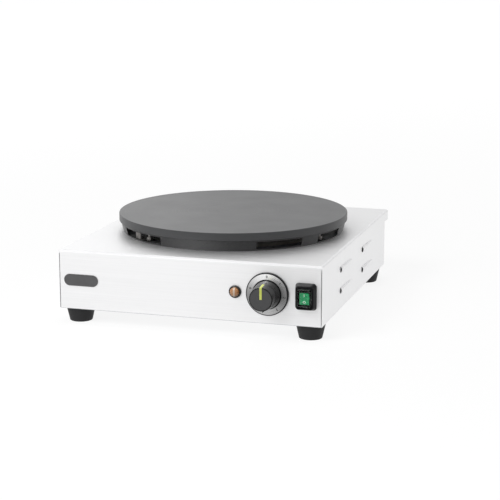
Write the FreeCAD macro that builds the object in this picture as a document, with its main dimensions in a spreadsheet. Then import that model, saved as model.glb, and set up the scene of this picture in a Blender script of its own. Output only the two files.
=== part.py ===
import FreeCAD, Part
import Sketcher
import math
import os

# Electric crepe maker: a round cast-iron griddle plate on a low folded stainless housing.
# The frame: +X to the user's right, +Y towards the back, +Z up, z = 0 where the feet stand,
# and x = y = 0 under the middle of the whole object, the knob included.

Vector = FreeCAD.Vector
Rotation = FreeCAD.Rotation

doc = FreeCAD.newDocument("crepe_maker")
sheet = doc.addObject("Spreadsheet::Sheet", "sizes")

# Driving dimensions in millimetres. A name ending in _angle is in degrees, and one ending
# in _count is a number of pieces.
SIZES = {
    # folded stainless housing
    "housing_width": 450,
    "housing_depth": 500,
    "housing_height": 100,
    "sheet_thickness": 1,
    "bend_radius": 4,
    "corner_seam": 1,
    "rear_lip_depth": 28,
    "rear_lip_height": 19,
    "return_flange": 14,
    "knob_reach": 41,
    "screw_play": 0.2,
    "part_gap": 0.3,
    # pressed louvres in the two sides
    "louvre_length": 83,
    "louvre_height": 11,
    "louvre_proud": 3.2,
    "louvre_pitch_y": 161,
    "louvre_pitch_z": 36,
    "louvre_first_y": 122,
    "louvre_first_z": 68,
    # rubber feet
    "foot_height": 25,
    "foot_top_radius": 24.5,
    "foot_bottom_radius": 18.8,
    "foot_inset_x": 26,
    "foot_inset_front": 29,
    "foot_inset_rear": 34,
    "foot_seat_height": 12,
    "foot_recess_radius": 8,
    # griddle plate and what holds it
    "plate_setback": 250,
    "plate_radius": 200,
    "plate_rise": 31.8,
    "plate_rim_height": 13.25,
    "plate_rim_width": 10,
    "plate_thickness": 9,
    "plate_edge": 0.8,
    "boss_radius": 7,
    "clamp_boss_ring": 108,
    "support_ring_radius": 179,
    "support_boss_height": 4,
    "bracket_width": 15,
    "bracket_thickness": 2,
    "bracket_radius": 190,
    "front_bracket_angle": -130.8,
    "side_bracket_angle": -31.4,
    "front_stud_angle": -124.9,
    "side_stud_angle": -18.6,
    "bracket_screw_ring": 182,
    # black skirt ring
    "skirt_bottom_radius": 193,
    "skirt_top_radius": 197.5,
    "skirt_wall": 1.2,
    "window_sill": 2.5,
    "window_height": 13,
    # heating unit
    "inner_element_radius": 75,
    "outer_element_radius": 140,
    "element_size": 8,
    "element_gap": 12,
    "clamp_plate_radius": 152,
    "clamp_plate_hole": 48,
    "clamp_plate_thickness": 2,
    "pan_radius": 168,
    "pan_flange_radius": 189.5,
    "pan_depth": 20,
    "pan_hole_radius": 12,
    "blanket_thickness": 18,
    "bulb_radius": 3,
    "bulb_length": 54,
    "capillary_radius": 0.9,
    # controls on the front
    "controls_height": 49.5,
    "badge_x": -185.8,
    "badge_width": 60,
    "badge_height": 19.5,
    "badge_thickness": 1.2,
    "lamp_x": 80.8,
    "lamp_bezel_radius": 10.4,
    "lamp_lens_radius": 7.6,
    "lamp_neck_radius": 6.8,
    "dial_x": 135,
    "dial_radius": 35.3,
    "dial_height": 5.5,
    "dial_face_outer": 33.4,
    "dial_face_inner": 24.2,
    "knob_base_radius": 23,
    "knob_front_radius": 19.3,
    "knob_gap": 1,
    "shaft_radius": 3,
    "shaft_play": 0.05,
    "pointer_width": 4,
    "switch_x": 198.3,
    "switch_width": 35,
    "switch_height": 44,
    "switch_depth": 12,
    "switch_taper": 3,
    "rocker_width": 16,
    "rocker_length": 20,
    "rocker_swing": 7,
    # electrical parts at the back
    "gland_x": 150,
    "gland_z": 38,
    "gland_bore": 5.5,
    "gland_thread": 10,
}


class Size:
    """A size or place as a formula on the sheet's cells, with the number that it gives now."""

    def __init__(self, formula, value):
        self.formula = formula
        self.value = value

    def __add__(self, other):
        other = as_size(other)
        return Size("(%s + %s)" % (self.formula, other.formula), self.value + other.value)

    def __radd__(self, other):
        return as_size(other) + self

    def __sub__(self, other):
        other = as_size(other)
        return Size("(%s - %s)" % (self.formula, other.formula), self.value - other.value)

    def __rsub__(self, other):
        return as_size(other) - self

    def __mul__(self, other):
        other = as_size(other)
        return Size("(%s * %s)" % (self.formula, other.formula), self.value * other.value)

    def __rmul__(self, other):
        return as_size(other) * self

    def __truediv__(self, other):
        other = as_size(other)
        return Size("(%s / %s)" % (self.formula, other.formula), self.value / other.value)

    def __neg__(self):
        return Size("(-%s)" % self.formula, -self.value)


def as_size(number):
    if isinstance(number, Size):
        return number
    return Size("(%r)" % float(number), float(number))


def cosine(angle):
    return Size("cos(%s * 1deg)" % angle.formula, math.cos(math.radians(angle.value)))


def arctangent(ratio):
    return Size("(atan(%s) / 1deg)" % ratio.formula, math.degrees(math.atan(ratio.value)))


def sine(angle):
    return Size("sin(%s * 1deg)" % angle.formula, math.sin(math.radians(angle.value)))


class SheetSizes:
    """Each cell of the sheet, by its alias, as a Size."""

    def __getattr__(self, name):
        return Size("sizes." + name, float(SIZES[name]))


for row, (alias, number) in enumerate(SIZES.items(), start=1):
    sheet.set("A%d" % row, alias.replace("_", " "))
    sheet.set("B%d" % row, str(number))
    sheet.setAlias("B%d" % row, alias)
doc.recompute()

S = SheetSizes()
T = S.sheet_thickness
FRONT = (S.knob_reach - S.housing_depth) / 2
REAR = FRONT + S.housing_depth
REAR_WALL = REAR - S.rear_lip_depth
HALF_WIDTH = S.housing_width / 2
AXIS_Y = FRONT + S.plate_setback
BASE = S.foot_height
SHELL_BOTTOM = BASE + T
DECK = BASE + S.housing_height
PLATE_TOP = DECK + S.plate_rise
PLATE_UNDER = PLATE_TOP - S.plate_thickness
RIM_BOTTOM = PLATE_TOP - S.plate_rim_height
CLAMP_TOP = PLATE_UNDER - S.element_size
CONTROLS_Z = BASE + S.controls_height
THROUGH = 6 * T

nodes = []


def keep(piece, label):
    """Name a finished piece and put it on the list of those that are written out."""
    piece.Label = label
    nodes.append(piece)
    return piece


def bind(thing, where, size):
    thing.setExpression(where, as_size(size).formula)


def place(piece, x, y, z, rotation=None):
    """Put a piece at a place given by formulas, turned as asked."""
    x, y, z = as_size(x), as_size(y), as_size(z)
    turn = rotation if rotation else Rotation()
    piece.Placement = FreeCAD.Placement(Vector(x.value, y.value, z.value), turn)
    bind(piece, "Placement.Base.x", x)
    bind(piece, "Placement.Base.y", y)
    bind(piece, "Placement.Base.z", z)
    return piece


def new_body(name):
    return doc.addObject("PartDesign::Body", name)


def new_sketch(body, role, offset=0):
    """A sketch on one of the body's own planes, moved along that plane's normal."""
    sketch = body.newObject("Sketcher::SketchObject", body.Name + "_sketch")
    planes = [item for item in body.Origin.OriginFeatures if item.Role == role]
    sketch.AttachmentSupport = [(planes[0], "")]
    sketch.MapMode = "FlatFace"
    offset = as_size(offset)
    sketch.AttachmentOffset = FreeCAD.Placement(Vector(0, 0, offset.value), Rotation())
    bind(sketch, "AttachmentOffset.Base.z", offset)
    return sketch


def fix(sketch, kind, *rest):
    """Add a constraint whose last value is a Size, bound to its formula."""
    size = as_size(rest[-1])
    number = sketch.addConstraint(Sketcher.Constraint(kind, *rest[:-1], size.value))
    sketch.setExpression("Constraints[%d]" % number, size.formula)


def arc_between(start, end, radius, bulge_left):
    """The shorter arc from start to end that bulges to one side, always drawn anticlockwise,
    and whether that runs from start to end."""
    middle = (start + end) * 0.5
    half = (end - start) * 0.5
    reach = math.sqrt(max(radius * radius - half.Length * half.Length, 0.0))
    left = Vector(-half.y, half.x, 0).normalize()
    side = left if bulge_left else left * -1
    top = middle + side * (radius - reach)
    if bulge_left:
        return Part.Arc(end, top, start), False
    return Part.Arc(start, top, end), True


def outline(sketch, points):
    """A closed outline: each point is x, y and, where an arc leaves it, the arc's radius,
    which is negative where the arc bulges to the right of the way to the next point."""
    first = sketch.GeometryCount
    spots = [Vector(as_size(point[0]).value, as_size(point[1]).value, 0) for point in points]
    count = len(points)
    starts = []
    ends = []
    for index, point in enumerate(points):
        start, end = spots[index], spots[(index + 1) % count]
        if len(point) == 2:
            sketch.addGeometry(Part.LineSegment(start, end), False)
            starts.append(1)
            ends.append(2)
        else:
            radius = as_size(point[2])
            arc, forward = arc_between(start, end, abs(radius.value), radius.value > 0)
            sketch.addGeometry(arc, False)
            starts.append(1 if forward else 2)
            ends.append(2 if forward else 1)
    for index in range(count):
        after = (index + 1) % count
        joined = Sketcher.Constraint("Coincident", first + index, ends[index], first + after,
                                     starts[after])
        sketch.addConstraint(joined)
    for index, point in enumerate(points):
        fix(sketch, "DistanceX", -1, 1, first + index, starts[index], point[0])
        fix(sketch, "DistanceY", -1, 1, first + index, starts[index], point[1])
        if len(point) == 3:
            radius = as_size(point[2])
            fix(sketch, "Radius", first + index, radius if radius.value > 0 else -radius)


def rectangle(sketch, left, right, low, high):
    outline(sketch, [(left, low), (right, low), (right, high), (left, high)])


def corner_cut_rectangle(sketch, width, height, corner):
    """A rectangle about the sketch's middle whose round corners are drawn as three flats."""
    x, y = width / 2, height / 2
    flat = as_size(30)
    near_end = corner * (1 - sine(flat))
    far_end = corner * (1 - cosine(flat))
    points = []
    for along, up in ((1, -1), (1, 1), (-1, 1), (-1, -1)):
        bend = [((x - corner) * along, y * up), ((x - near_end) * along, (y - far_end) * up),
                ((x - far_end) * along, (y - near_end) * up), (x * along, (y - corner) * up)]
        points += bend if along == -up else bend[::-1]
    outline(sketch, points)


def circle(sketch, x, y, radius):
    x, y, radius = as_size(x), as_size(y), as_size(radius)
    number = sketch.GeometryCount
    ring = Part.Circle(Vector(x.value, y.value, 0), Vector(0, 0, 1), radius.value)
    sketch.addGeometry(ring, False)
    fix(sketch, "DistanceX", -1, 1, number, 3, x)
    fix(sketch, "DistanceY", -1, 1, number, 3, y)
    fix(sketch, "Radius", number, radius)


def flats_round(sketch, x, y, radius, sides=6):
    """A small round hole or bar drawn with a few flats that touch its circle from outside."""
    corner = as_size(radius) / cosine(as_size(180 / sides))
    outline(sketch, [(x + corner * cosine(as_size(360 / sides * (turn + 0.5))),
                      y + corner * sine(as_size(360 / sides * (turn + 0.5))))
                     for turn in range(sides)])


def settle(feature):
    """Work the document out again and stop if the new feature failed."""
    doc.recompute()
    if "Invalid" in feature.State or "Error" in feature.State:
        raise RuntimeError("%s is in state %s" % (feature.Name, feature.State))
    return feature


def pad(body, sketch, length, side="One side", backwards=False):
    feature = body.newObject("PartDesign::Pad", body.Name + "_pad")
    feature.Profile = sketch
    feature.SideType = side
    feature.Reversed = backwards
    feature.Length = as_size(length).value
    bind(feature, "Length", length)
    return settle(feature)


def pocket(body, sketch, length, side="Symmetric", backwards=False):
    """Cut a sketch's outline out of the body, and refuse a cut that takes nothing away."""
    before = body.Shape.Volume
    feature = body.newObject("PartDesign::Pocket", body.Name + "_pocket")
    feature.Profile = sketch
    feature.SideType = side
    feature.Reversed = backwards
    feature.Length = as_size(length).value
    bind(feature, "Length", length)
    settle(feature)
    if body.Shape.Volume >= before - 1e-6:
        raise RuntimeError("a pocket of %s cuts nothing" % body.Name)
    return feature


def prism(body, radius, height, sides=6, low=0, hole=False):
    """Round stock drawn with a few flats: a bar has its corners on the circle, and a hole has
    its flats on it, so that the two never bite into each other."""
    kind = "PartDesign::SubtractivePrism" if hole else "PartDesign::AdditivePrism"
    feature = body.newObject(kind, body.Name + "_prism")
    feature.Polygon = sides
    corner = as_size(radius) / cosine(as_size(180 / sides)) if hole else as_size(radius)
    bind(feature, "Circumradius", corner)
    bind(feature, "Height", height)
    bind(feature, "Placement.Base.z", low)
    return settle(feature)


def slope(body, angle, faces_test, outwards):
    """Lean upright faces of the last feature outwards or inwards about the body's z = 0."""
    base = body.Tip
    names = []
    for number, face in enumerate(base.Shape.Faces, start=1):
        middle = face.CenterOfMass
        if abs(face.normalAt(0, 0).z) < 0.1 and faces_test(middle):
            names.append("Face%d" % number)
    feature = body.newObject("PartDesign::Draft", body.Name + "_slope")
    planes = [item for item in body.Origin.OriginFeatures if item.Role == "XY_Plane"]
    feature.Base = (base, names)
    feature.NeutralPlane = (planes[0], [""])
    feature.Reversed = outwards
    feature.Angle = angle.value
    bind(feature, "Angle", angle)
    return settle(feature)


def revolve(body, sketch):
    """Turn a sketch's outline all round its own upright axis."""
    feature = body.newObject("PartDesign::Revolution", body.Name + "_turn")
    feature.Profile = sketch
    feature.ReferenceAxis = (sketch, ["V_Axis"])
    feature.Angle = 360
    return settle(feature)


def edges_where(shape, test):
    """The names of the shape's edges whose middle point and direction pass a test."""
    names = []
    for number, edge in enumerate(shape.Edges, start=1):
        middle = edge.valueAt((edge.FirstParameter + edge.LastParameter) / 2)
        ends = edge.Vertexes
        along = ends[-1].Point - ends[0].Point
        if test(middle, along):
            names.append("Edge%d" % number)
    return names


def round_edges(body, test, radius, kind="PartDesign::Fillet"):
    base = body.Tip
    names = edges_where(base.Shape, test)
    if not names:
        raise RuntimeError("no edge of %s to round" % body.Name)
    feature = body.newObject(kind, body.Name + "_edge")
    feature.Base = (base, names)
    size = "Radius" if kind.endswith("Fillet") else "Size"
    setattr(feature, size, as_size(radius).value)
    bind(feature, size, radius)
    return settle(feature)


def polar(body, features, count, angle=360):
    feature = body.newObject("PartDesign::PolarPattern", body.Name + "_round")
    axes = [item for item in body.Origin.OriginFeatures if item.Role == "Z_Axis"]
    feature.Originals = features
    feature.Axis = (axes[0], [""])
    feature.Angle = angle
    feature.Occurrences = count
    body.Tip = feature
    return settle(feature)


def row_of(body, features, role, length, count, backwards=False):
    """Repeat features in a straight row along one of the body's axes."""
    feature = body.newObject("PartDesign::LinearPattern", body.Name + "_row")
    axes = [item for item in body.Origin.OriginFeatures if item.Role == role]
    feature.Originals = features
    feature.Direction = (axes[0], [""])
    feature.Reversed = backwards
    feature.Length = as_size(length).value
    bind(feature, "Length", length)
    feature.Occurrences = count
    body.Tip = feature
    return settle(feature)


def copies(template, label, places):
    """One node that holds a copy of the template at each place: x, y, z and a rotation."""
    links = []
    for spot in places:
        link = doc.addObject("App::Link", label + "_copy")
        link.LinkedObject = template
        place(link, *spot)
        links.append(link)
    group = doc.addObject("Part::Compound", label)
    group.Links = links
    return keep(group, label)


def near(number, size):
    return abs(number - as_size(size).value) < 0.01


# The controls face the user: a piece's own +Z points out of the front, and its +Y up.
FACING_FRONT = Rotation(Vector(1, 0, 0), 90)

FOOT_X = HALF_WIDTH - S.foot_inset_x
FOOT_FRONT_Y = FRONT + S.foot_inset_front
FOOT_REAR_Y = REAR_WALL - S.foot_inset_rear
FOOT_PLACES = [(side * FOOT_X, y) for y in (FOOT_FRONT_Y, FOOT_REAR_Y) for side in (-1, 1)]

SCREW_RADIUS = as_size(2)
PANEL_SCREW_X = HALF_WIDTH - S.return_flange / 2 - T
BASE_SCREW_PLACES = [
    (side * PANEL_SCREW_X, y)
    for y in (FRONT + S.return_flange * 5, AXIS_Y, REAR_WALL - S.return_flange * 5)
    for side in (-1, 1)]
REAR_SCREW_HEIGHTS = (BASE + S.return_flange * 1.6, DECK - S.rear_lip_height - S.return_flange)
REAR_SCREW_PLACES = [(side * PANEL_SCREW_X, z) for z in REAR_SCREW_HEIGHTS for side in (-1, 1)]

ANGLES_BRACKET = [S.front_bracket_angle, S.side_bracket_angle,
                  S.front_bracket_angle + 180, S.side_bracket_angle + 180]
ANGLES_STUD = [S.front_stud_angle, S.side_stud_angle,
               S.front_stud_angle + 180, S.side_stud_angle + 180]
DECK_HOLES = [(S.bracket_screw_ring, angle) for angle in ANGLES_BRACKET]
DECK_HOLES += [(S.support_ring_radius, angle) for angle in ANGLES_STUD]

# How many flats round stock is drawn with.
HIDDEN_SIDES = 24
HEAD_SIDES = 6
FOOT_SIDES = 20
RIM_SIDES = 24
SKIRT_SIDES = 40
DIAL_SIDES = 40
ROUND_SIDES = 24
KNOB_SIDES = 36

# Screws, studs and nuts.
FOOT_SCREW_RADIUS = as_size(3)
FOOT_SCREW_HEAD = as_size(6)
FOOT_NUT_HEIGHT = as_size(5)
STUD_RADIUS = as_size(3)
BRACKET_SCREW = as_size(2.5)
BRACKET_SCREW_HEAD = as_size(4)
BRACKET_NUT_HEIGHT = as_size(4)
CLAMP_NUT_HEIGHT = as_size(4.5)
HOLD_NUT_HEIGHT = as_size(5)
NUT_FLATS = as_size(10)
SMALL_NUT_FLATS = as_size(8)
END_SHOWING = as_size(2.5)
TAP_DEPTH = as_size(6)
TAP_SHY = as_size(0.5)

# Vents of the housing, and the louvres' crest and flat as shares of their height and length.
LOUVRE_CREST = 0.45
LOUVRE_FLAT = 0.12
VENT_LENGTH = as_size(90)
VENT_WIDTH = as_size(4)
VENT_ROW = as_size(110)
VENT_COUNT = 8
REAR_VENT_LOW = BASE + 28
REAR_VENT_HIGH = BASE + 60

# Heating unit: levels, the elements' legs and pins, and the places of the clamps.
ELEMENT_ANGLE = 60
CLAMP_COUNT = 3
PAN_FLOOR = DECK - S.pan_depth
LEG_END = PAN_FLOOR - 5
LEG_HOLE = S.element_size * 0.75
CLAMP_LEG_HOLE = LEG_HOLE + 0.5
PIN_RADIUS = as_size(2)
PIN_LENGTH = as_size(14)
BUSH_RADIUS = as_size(4.5)
BUSH_HEIGHT = as_size(6)
BRACKET_FOOT = as_size(6)
CUT_OUT_Y = as_size(60)
CUT_OUT_RADIUS = as_size(12)
CUT_OUT_NECK = as_size(8)
CUT_OUT_CAP = as_size(5)
CUT_OUT_DEPTH = as_size(13)

# Temperature sensor: its bulb's end, its clip and its thin tube.
BULB_END_X = as_size(-8)
CLIP_SCREW_Y = as_size(9)
CLIP_EAR = as_size(4.3)
CLIP_WIDTH = as_size(12)
CLIP_TAP_DEPTH = as_size(5)
CAPILLARY_BEND = 6.0
CAPILLARY_DROP = as_size(10)
CAPILLARY_RUN = as_size(30)

# Indicator lamp.
LAMP_RIM = as_size(3.6)
LENS_RIM = as_size(0.8)
LENS_RISE = as_size(3.4)
LENS_SLOPE = as_size(40)
LAMP_NECK = as_size(12)
LAMP_TAIL = as_size(14)
LAMP_TAIL_RADIUS = S.lamp_neck_radius - 1.5
LAMP_NUT = as_size(3)
LAMP_NUT_FLATS = as_size(17)

# Dial, knob and thermostat.
DIAL_SCREW_X = as_size(14)
DIAL_SCREW_HEAD = as_size(3.5)
DIAL_SEAT = S.dial_height - 1.2
DIAL_FLOOR = as_size(1.5)
DIAL_PLATE = as_size(1)
DIAL_RECESS_RADIUS = S.dial_face_inner - 2
KNOB_WALL = as_size(2.2)
KNOB_LIP = as_size(1.5)
KNOB_ROOF = as_size(3)
KNOB_HUB_WALL = as_size(3.5)
KNOB_HUB_SHY = as_size(3)
KNOB_POINTER_PROUD = as_size(0.8)
CAP_DEPTH = as_size(1.3)
POINTER_DEPTH = as_size(1.2)
POINTER_PROUD = as_size(0.3)
POINTER_SIDE = as_size(16)
POINTER_SPREAD = as_size(1.8)
SHAFT_DEPTH = as_size(20)
SHAFT_SHY = as_size(2)
SHAFT_FLAT = 0.6
BUSHING_HOLE = S.shaft_radius + 2.5
THERMOSTAT_DEPTH = as_size(36)
THERMOSTAT_TAP = as_size(6)
PLATE_HALF_X = as_size(23)
PLATE_HALF_Y = as_size(14)
PLATE_GAUGE = as_size(1.5)
CASE_HALF_X = as_size(19)
CASE_HALF_Y = as_size(17)

# Rocker switch and its splash cover.
SWITCH_CORNER = as_size(6)
SWITCH_BODY_WIDTH = S.rocker_width + 4.6
SWITCH_BODY_HEIGHT = S.rocker_length + 5.6
SWITCH_BODY_DEPTH = as_size(26)
SWITCH_BODY_WALL = as_size(1.3)
SWITCH_WALL_TOP = as_size(6)
ROCKER_PIVOT = as_size(4)
ROCKER_FACE = as_size(12)
ROCKER_PLAY = as_size(0.4)
PIVOT_RADIUS = as_size(1.2)
COVER_RISE = as_size(3.2)
COVER_LAP = as_size(2)
COVER_CORNER = as_size(3)
COVER_WALL = as_size(1.2)
COVER_ROOF = as_size(0.8)
TAB_WIDTH = as_size(6.2)
TAB_GAUGE = as_size(0.8)
TAB_LENGTH = as_size(9)
TAB_SPREAD_X = as_size(5)
TAB_SPREAD_Z = as_size(7)

# Cable gland, terminal block and earth stud.
GLAND_THREAD_LENGTH = as_size(12)
GLAND_FLATS = as_size(27)
GLAND_HEX = as_size(6)
GLAND_DOME_RADIUS = S.gland_thread + 2
GLAND_DOME = as_size(16)
GLAND_NOSE_RADIUS = S.gland_thread - 2
GLAND_REACH = as_size(20)
GLAND_NUT_HEIGHT = as_size(5)
BLOCK_X = S.gland_x - 50
BLOCK_Y = REAR_WALL - 55
BLOCK_WIDTH = as_size(22)
BLOCK_HEIGHT = as_size(18)
WAY_PITCH = as_size(12)
WAY_COUNT = 4
WAY_HOLE = as_size(2.6)
WAY_DEPTH = as_size(8)
WAY_SCREW = as_size(1.8)
WAY_SCREW_HEAD = as_size(2.4)
WAY_SCREW_SHY = as_size(0.5)
EARTH_X = as_size(40)
EARTH_Y = REAR_WALL - 55
EARTH_RADIUS = as_size(2.4)
EARTH_HEAD = as_size(4.2)
EARTH_LENGTH = as_size(16)

# Windows of the skirt ring, as angles in degrees, each repeated half a turn round.
WINDOWS = [(-142.2, -111), (-61.5, -37), (-25.9, -6)]

# The places of the elements' legs, noted as the elements are made.
LEGS = []


def around(radius, angle):
    """The place at that radius and angle round the plate's axis."""
    return radius * cosine(angle), AXIS_Y + radius * sine(angle)


def folded_box(name, inset, low, radius):
    """The housing's outline with its deck edges bent round, moved inwards by the inset."""
    body = new_body(name)
    lip_z = DECK - S.rear_lip_height + inset
    profile = new_sketch(body, "YZ_Plane")
    outline(profile, [(FRONT + inset, low), (FRONT + inset, DECK - inset),
                      (REAR - inset, DECK - inset), (REAR - inset, lip_z),
                      (REAR_WALL - inset, lip_z), (REAR_WALL - inset, low)])
    pad(body, profile, S.housing_width - inset * 2, "Symmetric")
    round_edges(body, lambda spot, along: near(spot.z, DECK - inset), radius)
    return body


def body_shell():
    """Deck, front, sides and rear lip folded from one sheet, with pressed louvres."""
    body = folded_box("body_shell_blank", as_size(0), SHELL_BOTTOM, S.bend_radius)
    lip_z = DECK - S.rear_lip_height
    hollow = body.newObject("PartDesign::Boolean", "shell_hollow")
    hollow.Type = "Cut"
    hollow.addObjects([folded_box("shell_inside", T, BASE, S.bend_radius - T)])
    settle(hollow)

    flange = new_sketch(body, "XY_Plane", SHELL_BOTTOM)
    inset = T / 2
    rectangle(flange, -HALF_WIDTH + inset, HALF_WIDTH - inset, FRONT + inset, REAR_WALL - inset)
    hem = S.return_flange
    rectangle(flange, -HALF_WIDTH + hem, HALF_WIDTH - hem, FRONT + hem, REAR_WALL - hem)
    pad(body, flange, T)

    rear_opening = new_sketch(body, "XZ_Plane", -REAR_WALL)
    rectangle(rear_opening, -HALF_WIDTH + hem, HALF_WIDTH - hem, BASE + hem, lip_z - hem)
    pocket(body, rear_opening, THROUGH)

    deck_hole = new_sketch(body, "XY_Plane", DECK)
    flats_round(deck_hole, 0, AXIS_Y, S.pan_radius + T + S.part_gap, HIDDEN_SIDES)
    for radius, angle in DECK_HOLES:
        x, y = around(radius, angle)
        flats_round(deck_hole, x, y, STUD_RADIUS + S.screw_play)
    pocket(body, deck_hole, THROUGH)

    panel_holes = new_sketch(body, "XZ_Plane", -FRONT)
    flats_round(panel_holes, S.lamp_x, CONTROLS_Z, S.lamp_neck_radius + S.screw_play, 12)
    flats_round(panel_holes, S.dial_x, CONTROLS_Z, BUSHING_HOLE, 12)
    for side in (-1, 1):
        flats_round(panel_holes, S.dial_x + side * DIAL_SCREW_X, CONTROLS_Z,
                    SCREW_RADIUS + S.screw_play)
    half_x = SWITCH_BODY_WIDTH / 2 + S.screw_play
    half_z = SWITCH_BODY_HEIGHT / 2 + S.screw_play
    rectangle(panel_holes, S.switch_x - half_x, S.switch_x + half_x,
              CONTROLS_Z - half_z, CONTROLS_Z + half_z)
    pocket(body, panel_holes, THROUGH)

    seams = new_sketch(body, "XZ_Plane", -FRONT)
    for side in (-1, 1):
        edges = sorted((side * (HALF_WIDTH - T), side * (HALF_WIDTH - T - S.corner_seam)),
                       key=lambda size: size.value)
        rectangle(seams, edges[0], edges[1], BASE, DECK - S.bend_radius * 1.5)
    pocket(body, seams, THROUGH)

    screw_holes = new_sketch(body, "XY_Plane", SHELL_BOTTOM)
    for x, y in BASE_SCREW_PLACES:
        flats_round(screw_holes, x, y, SCREW_RADIUS + S.screw_play)
    pocket(body, screw_holes, THROUGH)

    rear_holes = new_sketch(body, "XZ_Plane", -REAR_WALL)
    for x, z in REAR_SCREW_PLACES:
        flats_round(rear_holes, x, z, SCREW_RADIUS + S.screw_play)
    pocket(body, rear_holes, THROUGH)

    press_louvres(body)
    return keep(body, "body_shell")


def louvre_wedge(body, kind, front, length, half_height, low, high):
    """One hip-shaped hood lying on a side wall, its front end upright and its rear end long."""
    feature = body.newObject(kind, body.Name + "_hood")
    crest = half_height * LOUVRE_CREST
    sizes = {
        "Xmin": as_size(0), "Xmax": length, "Ymin": as_size(0), "Ymax": high - low,
        "Zmin": -half_height, "Zmax": half_height, "X2min": as_size(0),
        "X2max": length * LOUVRE_FLAT, "Z2min": -crest, "Z2max": crest}
    for name, size in sizes.items():
        setattr(feature, name, size.value)
        bind(feature, name, size)
    laid = Rotation(Vector(1, 1, 0), 180)
    place(feature, low, front, BASE + S.louvre_first_z, laid)
    return settle(feature)


def press_louvres(body):
    """Scoop-shaped vents, open towards the front, two rows of two in each side."""
    start = FRONT + S.louvre_first_y
    half = S.louvre_height / 2
    outer = louvre_wedge(body, "PartDesign::AdditiveWedge", start, S.louvre_length, half,
                         HALF_WIDTH - T / 2, HALF_WIDTH + S.louvre_proud)
    inner = louvre_wedge(body, "PartDesign::SubtractiveWedge", start - T / 4,
                         S.louvre_length - T * 8, half - T, HALF_WIDTH - T * 1.5,
                         HALF_WIDTH + S.louvre_proud - T)
    axes = {item.Role: item for item in body.Origin.OriginFeatures}
    group = body.newObject("PartDesign::MultiTransform", "louvre_pattern")
    group.Originals = [outer, inner]
    along = doc.addObject("PartDesign::LinearPattern", "louvre_columns")
    along.Direction = (axes["Y_Axis"], [""])
    along.Length = S.louvre_pitch_y.value
    bind(along, "Length", S.louvre_pitch_y)
    along.Occurrences = 2
    down = doc.addObject("PartDesign::LinearPattern", "louvre_rows")
    down.Direction = (axes["Z_Axis"], [""])
    down.Reversed = True
    down.Length = S.louvre_pitch_z.value
    bind(down, "Length", S.louvre_pitch_z)
    down.Occurrences = 2
    across = doc.addObject("PartDesign::Mirrored", "louvre_sides")
    across.MirrorPlane = (axes["YZ_Plane"], [""])
    body.Group = body.Group + [along, down, across]
    group.Transformations = [along, down, across]
    body.Tip = group
    settle(group)


def base_plate():
    """Flat steel bottom, screwed to the housing's return flanges, with vent slots."""
    body = new_body("base_plate_blank")
    sheet_area = new_sketch(body, "XY_Plane", BASE)
    rectangle(sheet_area, -HALF_WIDTH + T, HALF_WIDTH - T, FRONT + T, REAR_WALL - T)
    pad(body, sheet_area, T)
    holes = new_sketch(body, "XY_Plane", BASE)
    for x, y in FOOT_PLACES:
        flats_round(holes, x, y, FOOT_SCREW_RADIUS + S.screw_play)
    for x, y in BASE_SCREW_PLACES:
        flats_round(holes, x, y, SCREW_RADIUS + S.screw_play)
    flats_round(holes, EARTH_X, EARTH_Y, EARTH_RADIUS + S.screw_play)
    pocket(body, holes, THROUGH)
    slot = new_sketch(body, "XY_Plane", BASE)
    rectangle(slot, -VENT_LENGTH / 2, VENT_LENGTH / 2, AXIS_Y - VENT_ROW / 2,
              AXIS_Y - VENT_ROW / 2 + VENT_WIDTH)
    vent = pocket(body, slot, THROUGH)
    row_of(body, [vent], "Y_Axis", VENT_ROW - VENT_WIDTH, VENT_COUNT)
    return keep(body, "base_plate")


def rear_panel():
    """Flat cover over the opening at the back, with the cable gland's hole and vents."""
    body = new_body("rear_panel_blank")
    top = DECK - S.rear_lip_height - S.part_gap
    area = new_sketch(body, "XZ_Plane", -REAR_WALL)
    rectangle(area, -HALF_WIDTH + T, HALF_WIDTH - T, SHELL_BOTTOM, top)
    pad(body, area, T, backwards=True)
    holes = new_sketch(body, "XZ_Plane", -REAR_WALL)
    flats_round(holes, S.gland_x, BASE + S.gland_z, S.gland_thread + S.screw_play, 16)
    for x, z in REAR_SCREW_PLACES:
        flats_round(holes, x, z, SCREW_RADIUS + S.screw_play)
    pocket(body, holes, THROUGH)
    slot = new_sketch(body, "XZ_Plane", -REAR_WALL)
    rectangle(slot, -VENT_ROW / 2, -VENT_ROW / 2 + VENT_WIDTH, REAR_VENT_LOW, REAR_VENT_HIGH)
    vent = pocket(body, slot, THROUGH)
    row_of(body, [vent], "X_Axis", VENT_ROW - VENT_WIDTH, VENT_COUNT)
    return keep(body, "rear_panel")


def screw(name, radius, length, head_radius, head_height):
    """A screw along its own -Z, its head's seat at z = 0."""
    body = new_body(name)
    prism(body, head_radius, head_height, HEAD_SIDES)
    prism(body, radius, length, low=-as_size(length))
    return body


def nut(name, hole_radius, across_flats, height):
    """A hexagon nut on its own z = 0."""
    body = new_body(name)
    prism(body, as_size(across_flats) / 2 / cosine(as_size(30)), height, 6)
    prism(body, hole_radius, height, hole=True)
    return body


def stud(name, radius, length):
    """A plain threaded rod along its own +Z."""
    body = new_body(name)
    prism(body, radius, length)
    return body


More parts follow.
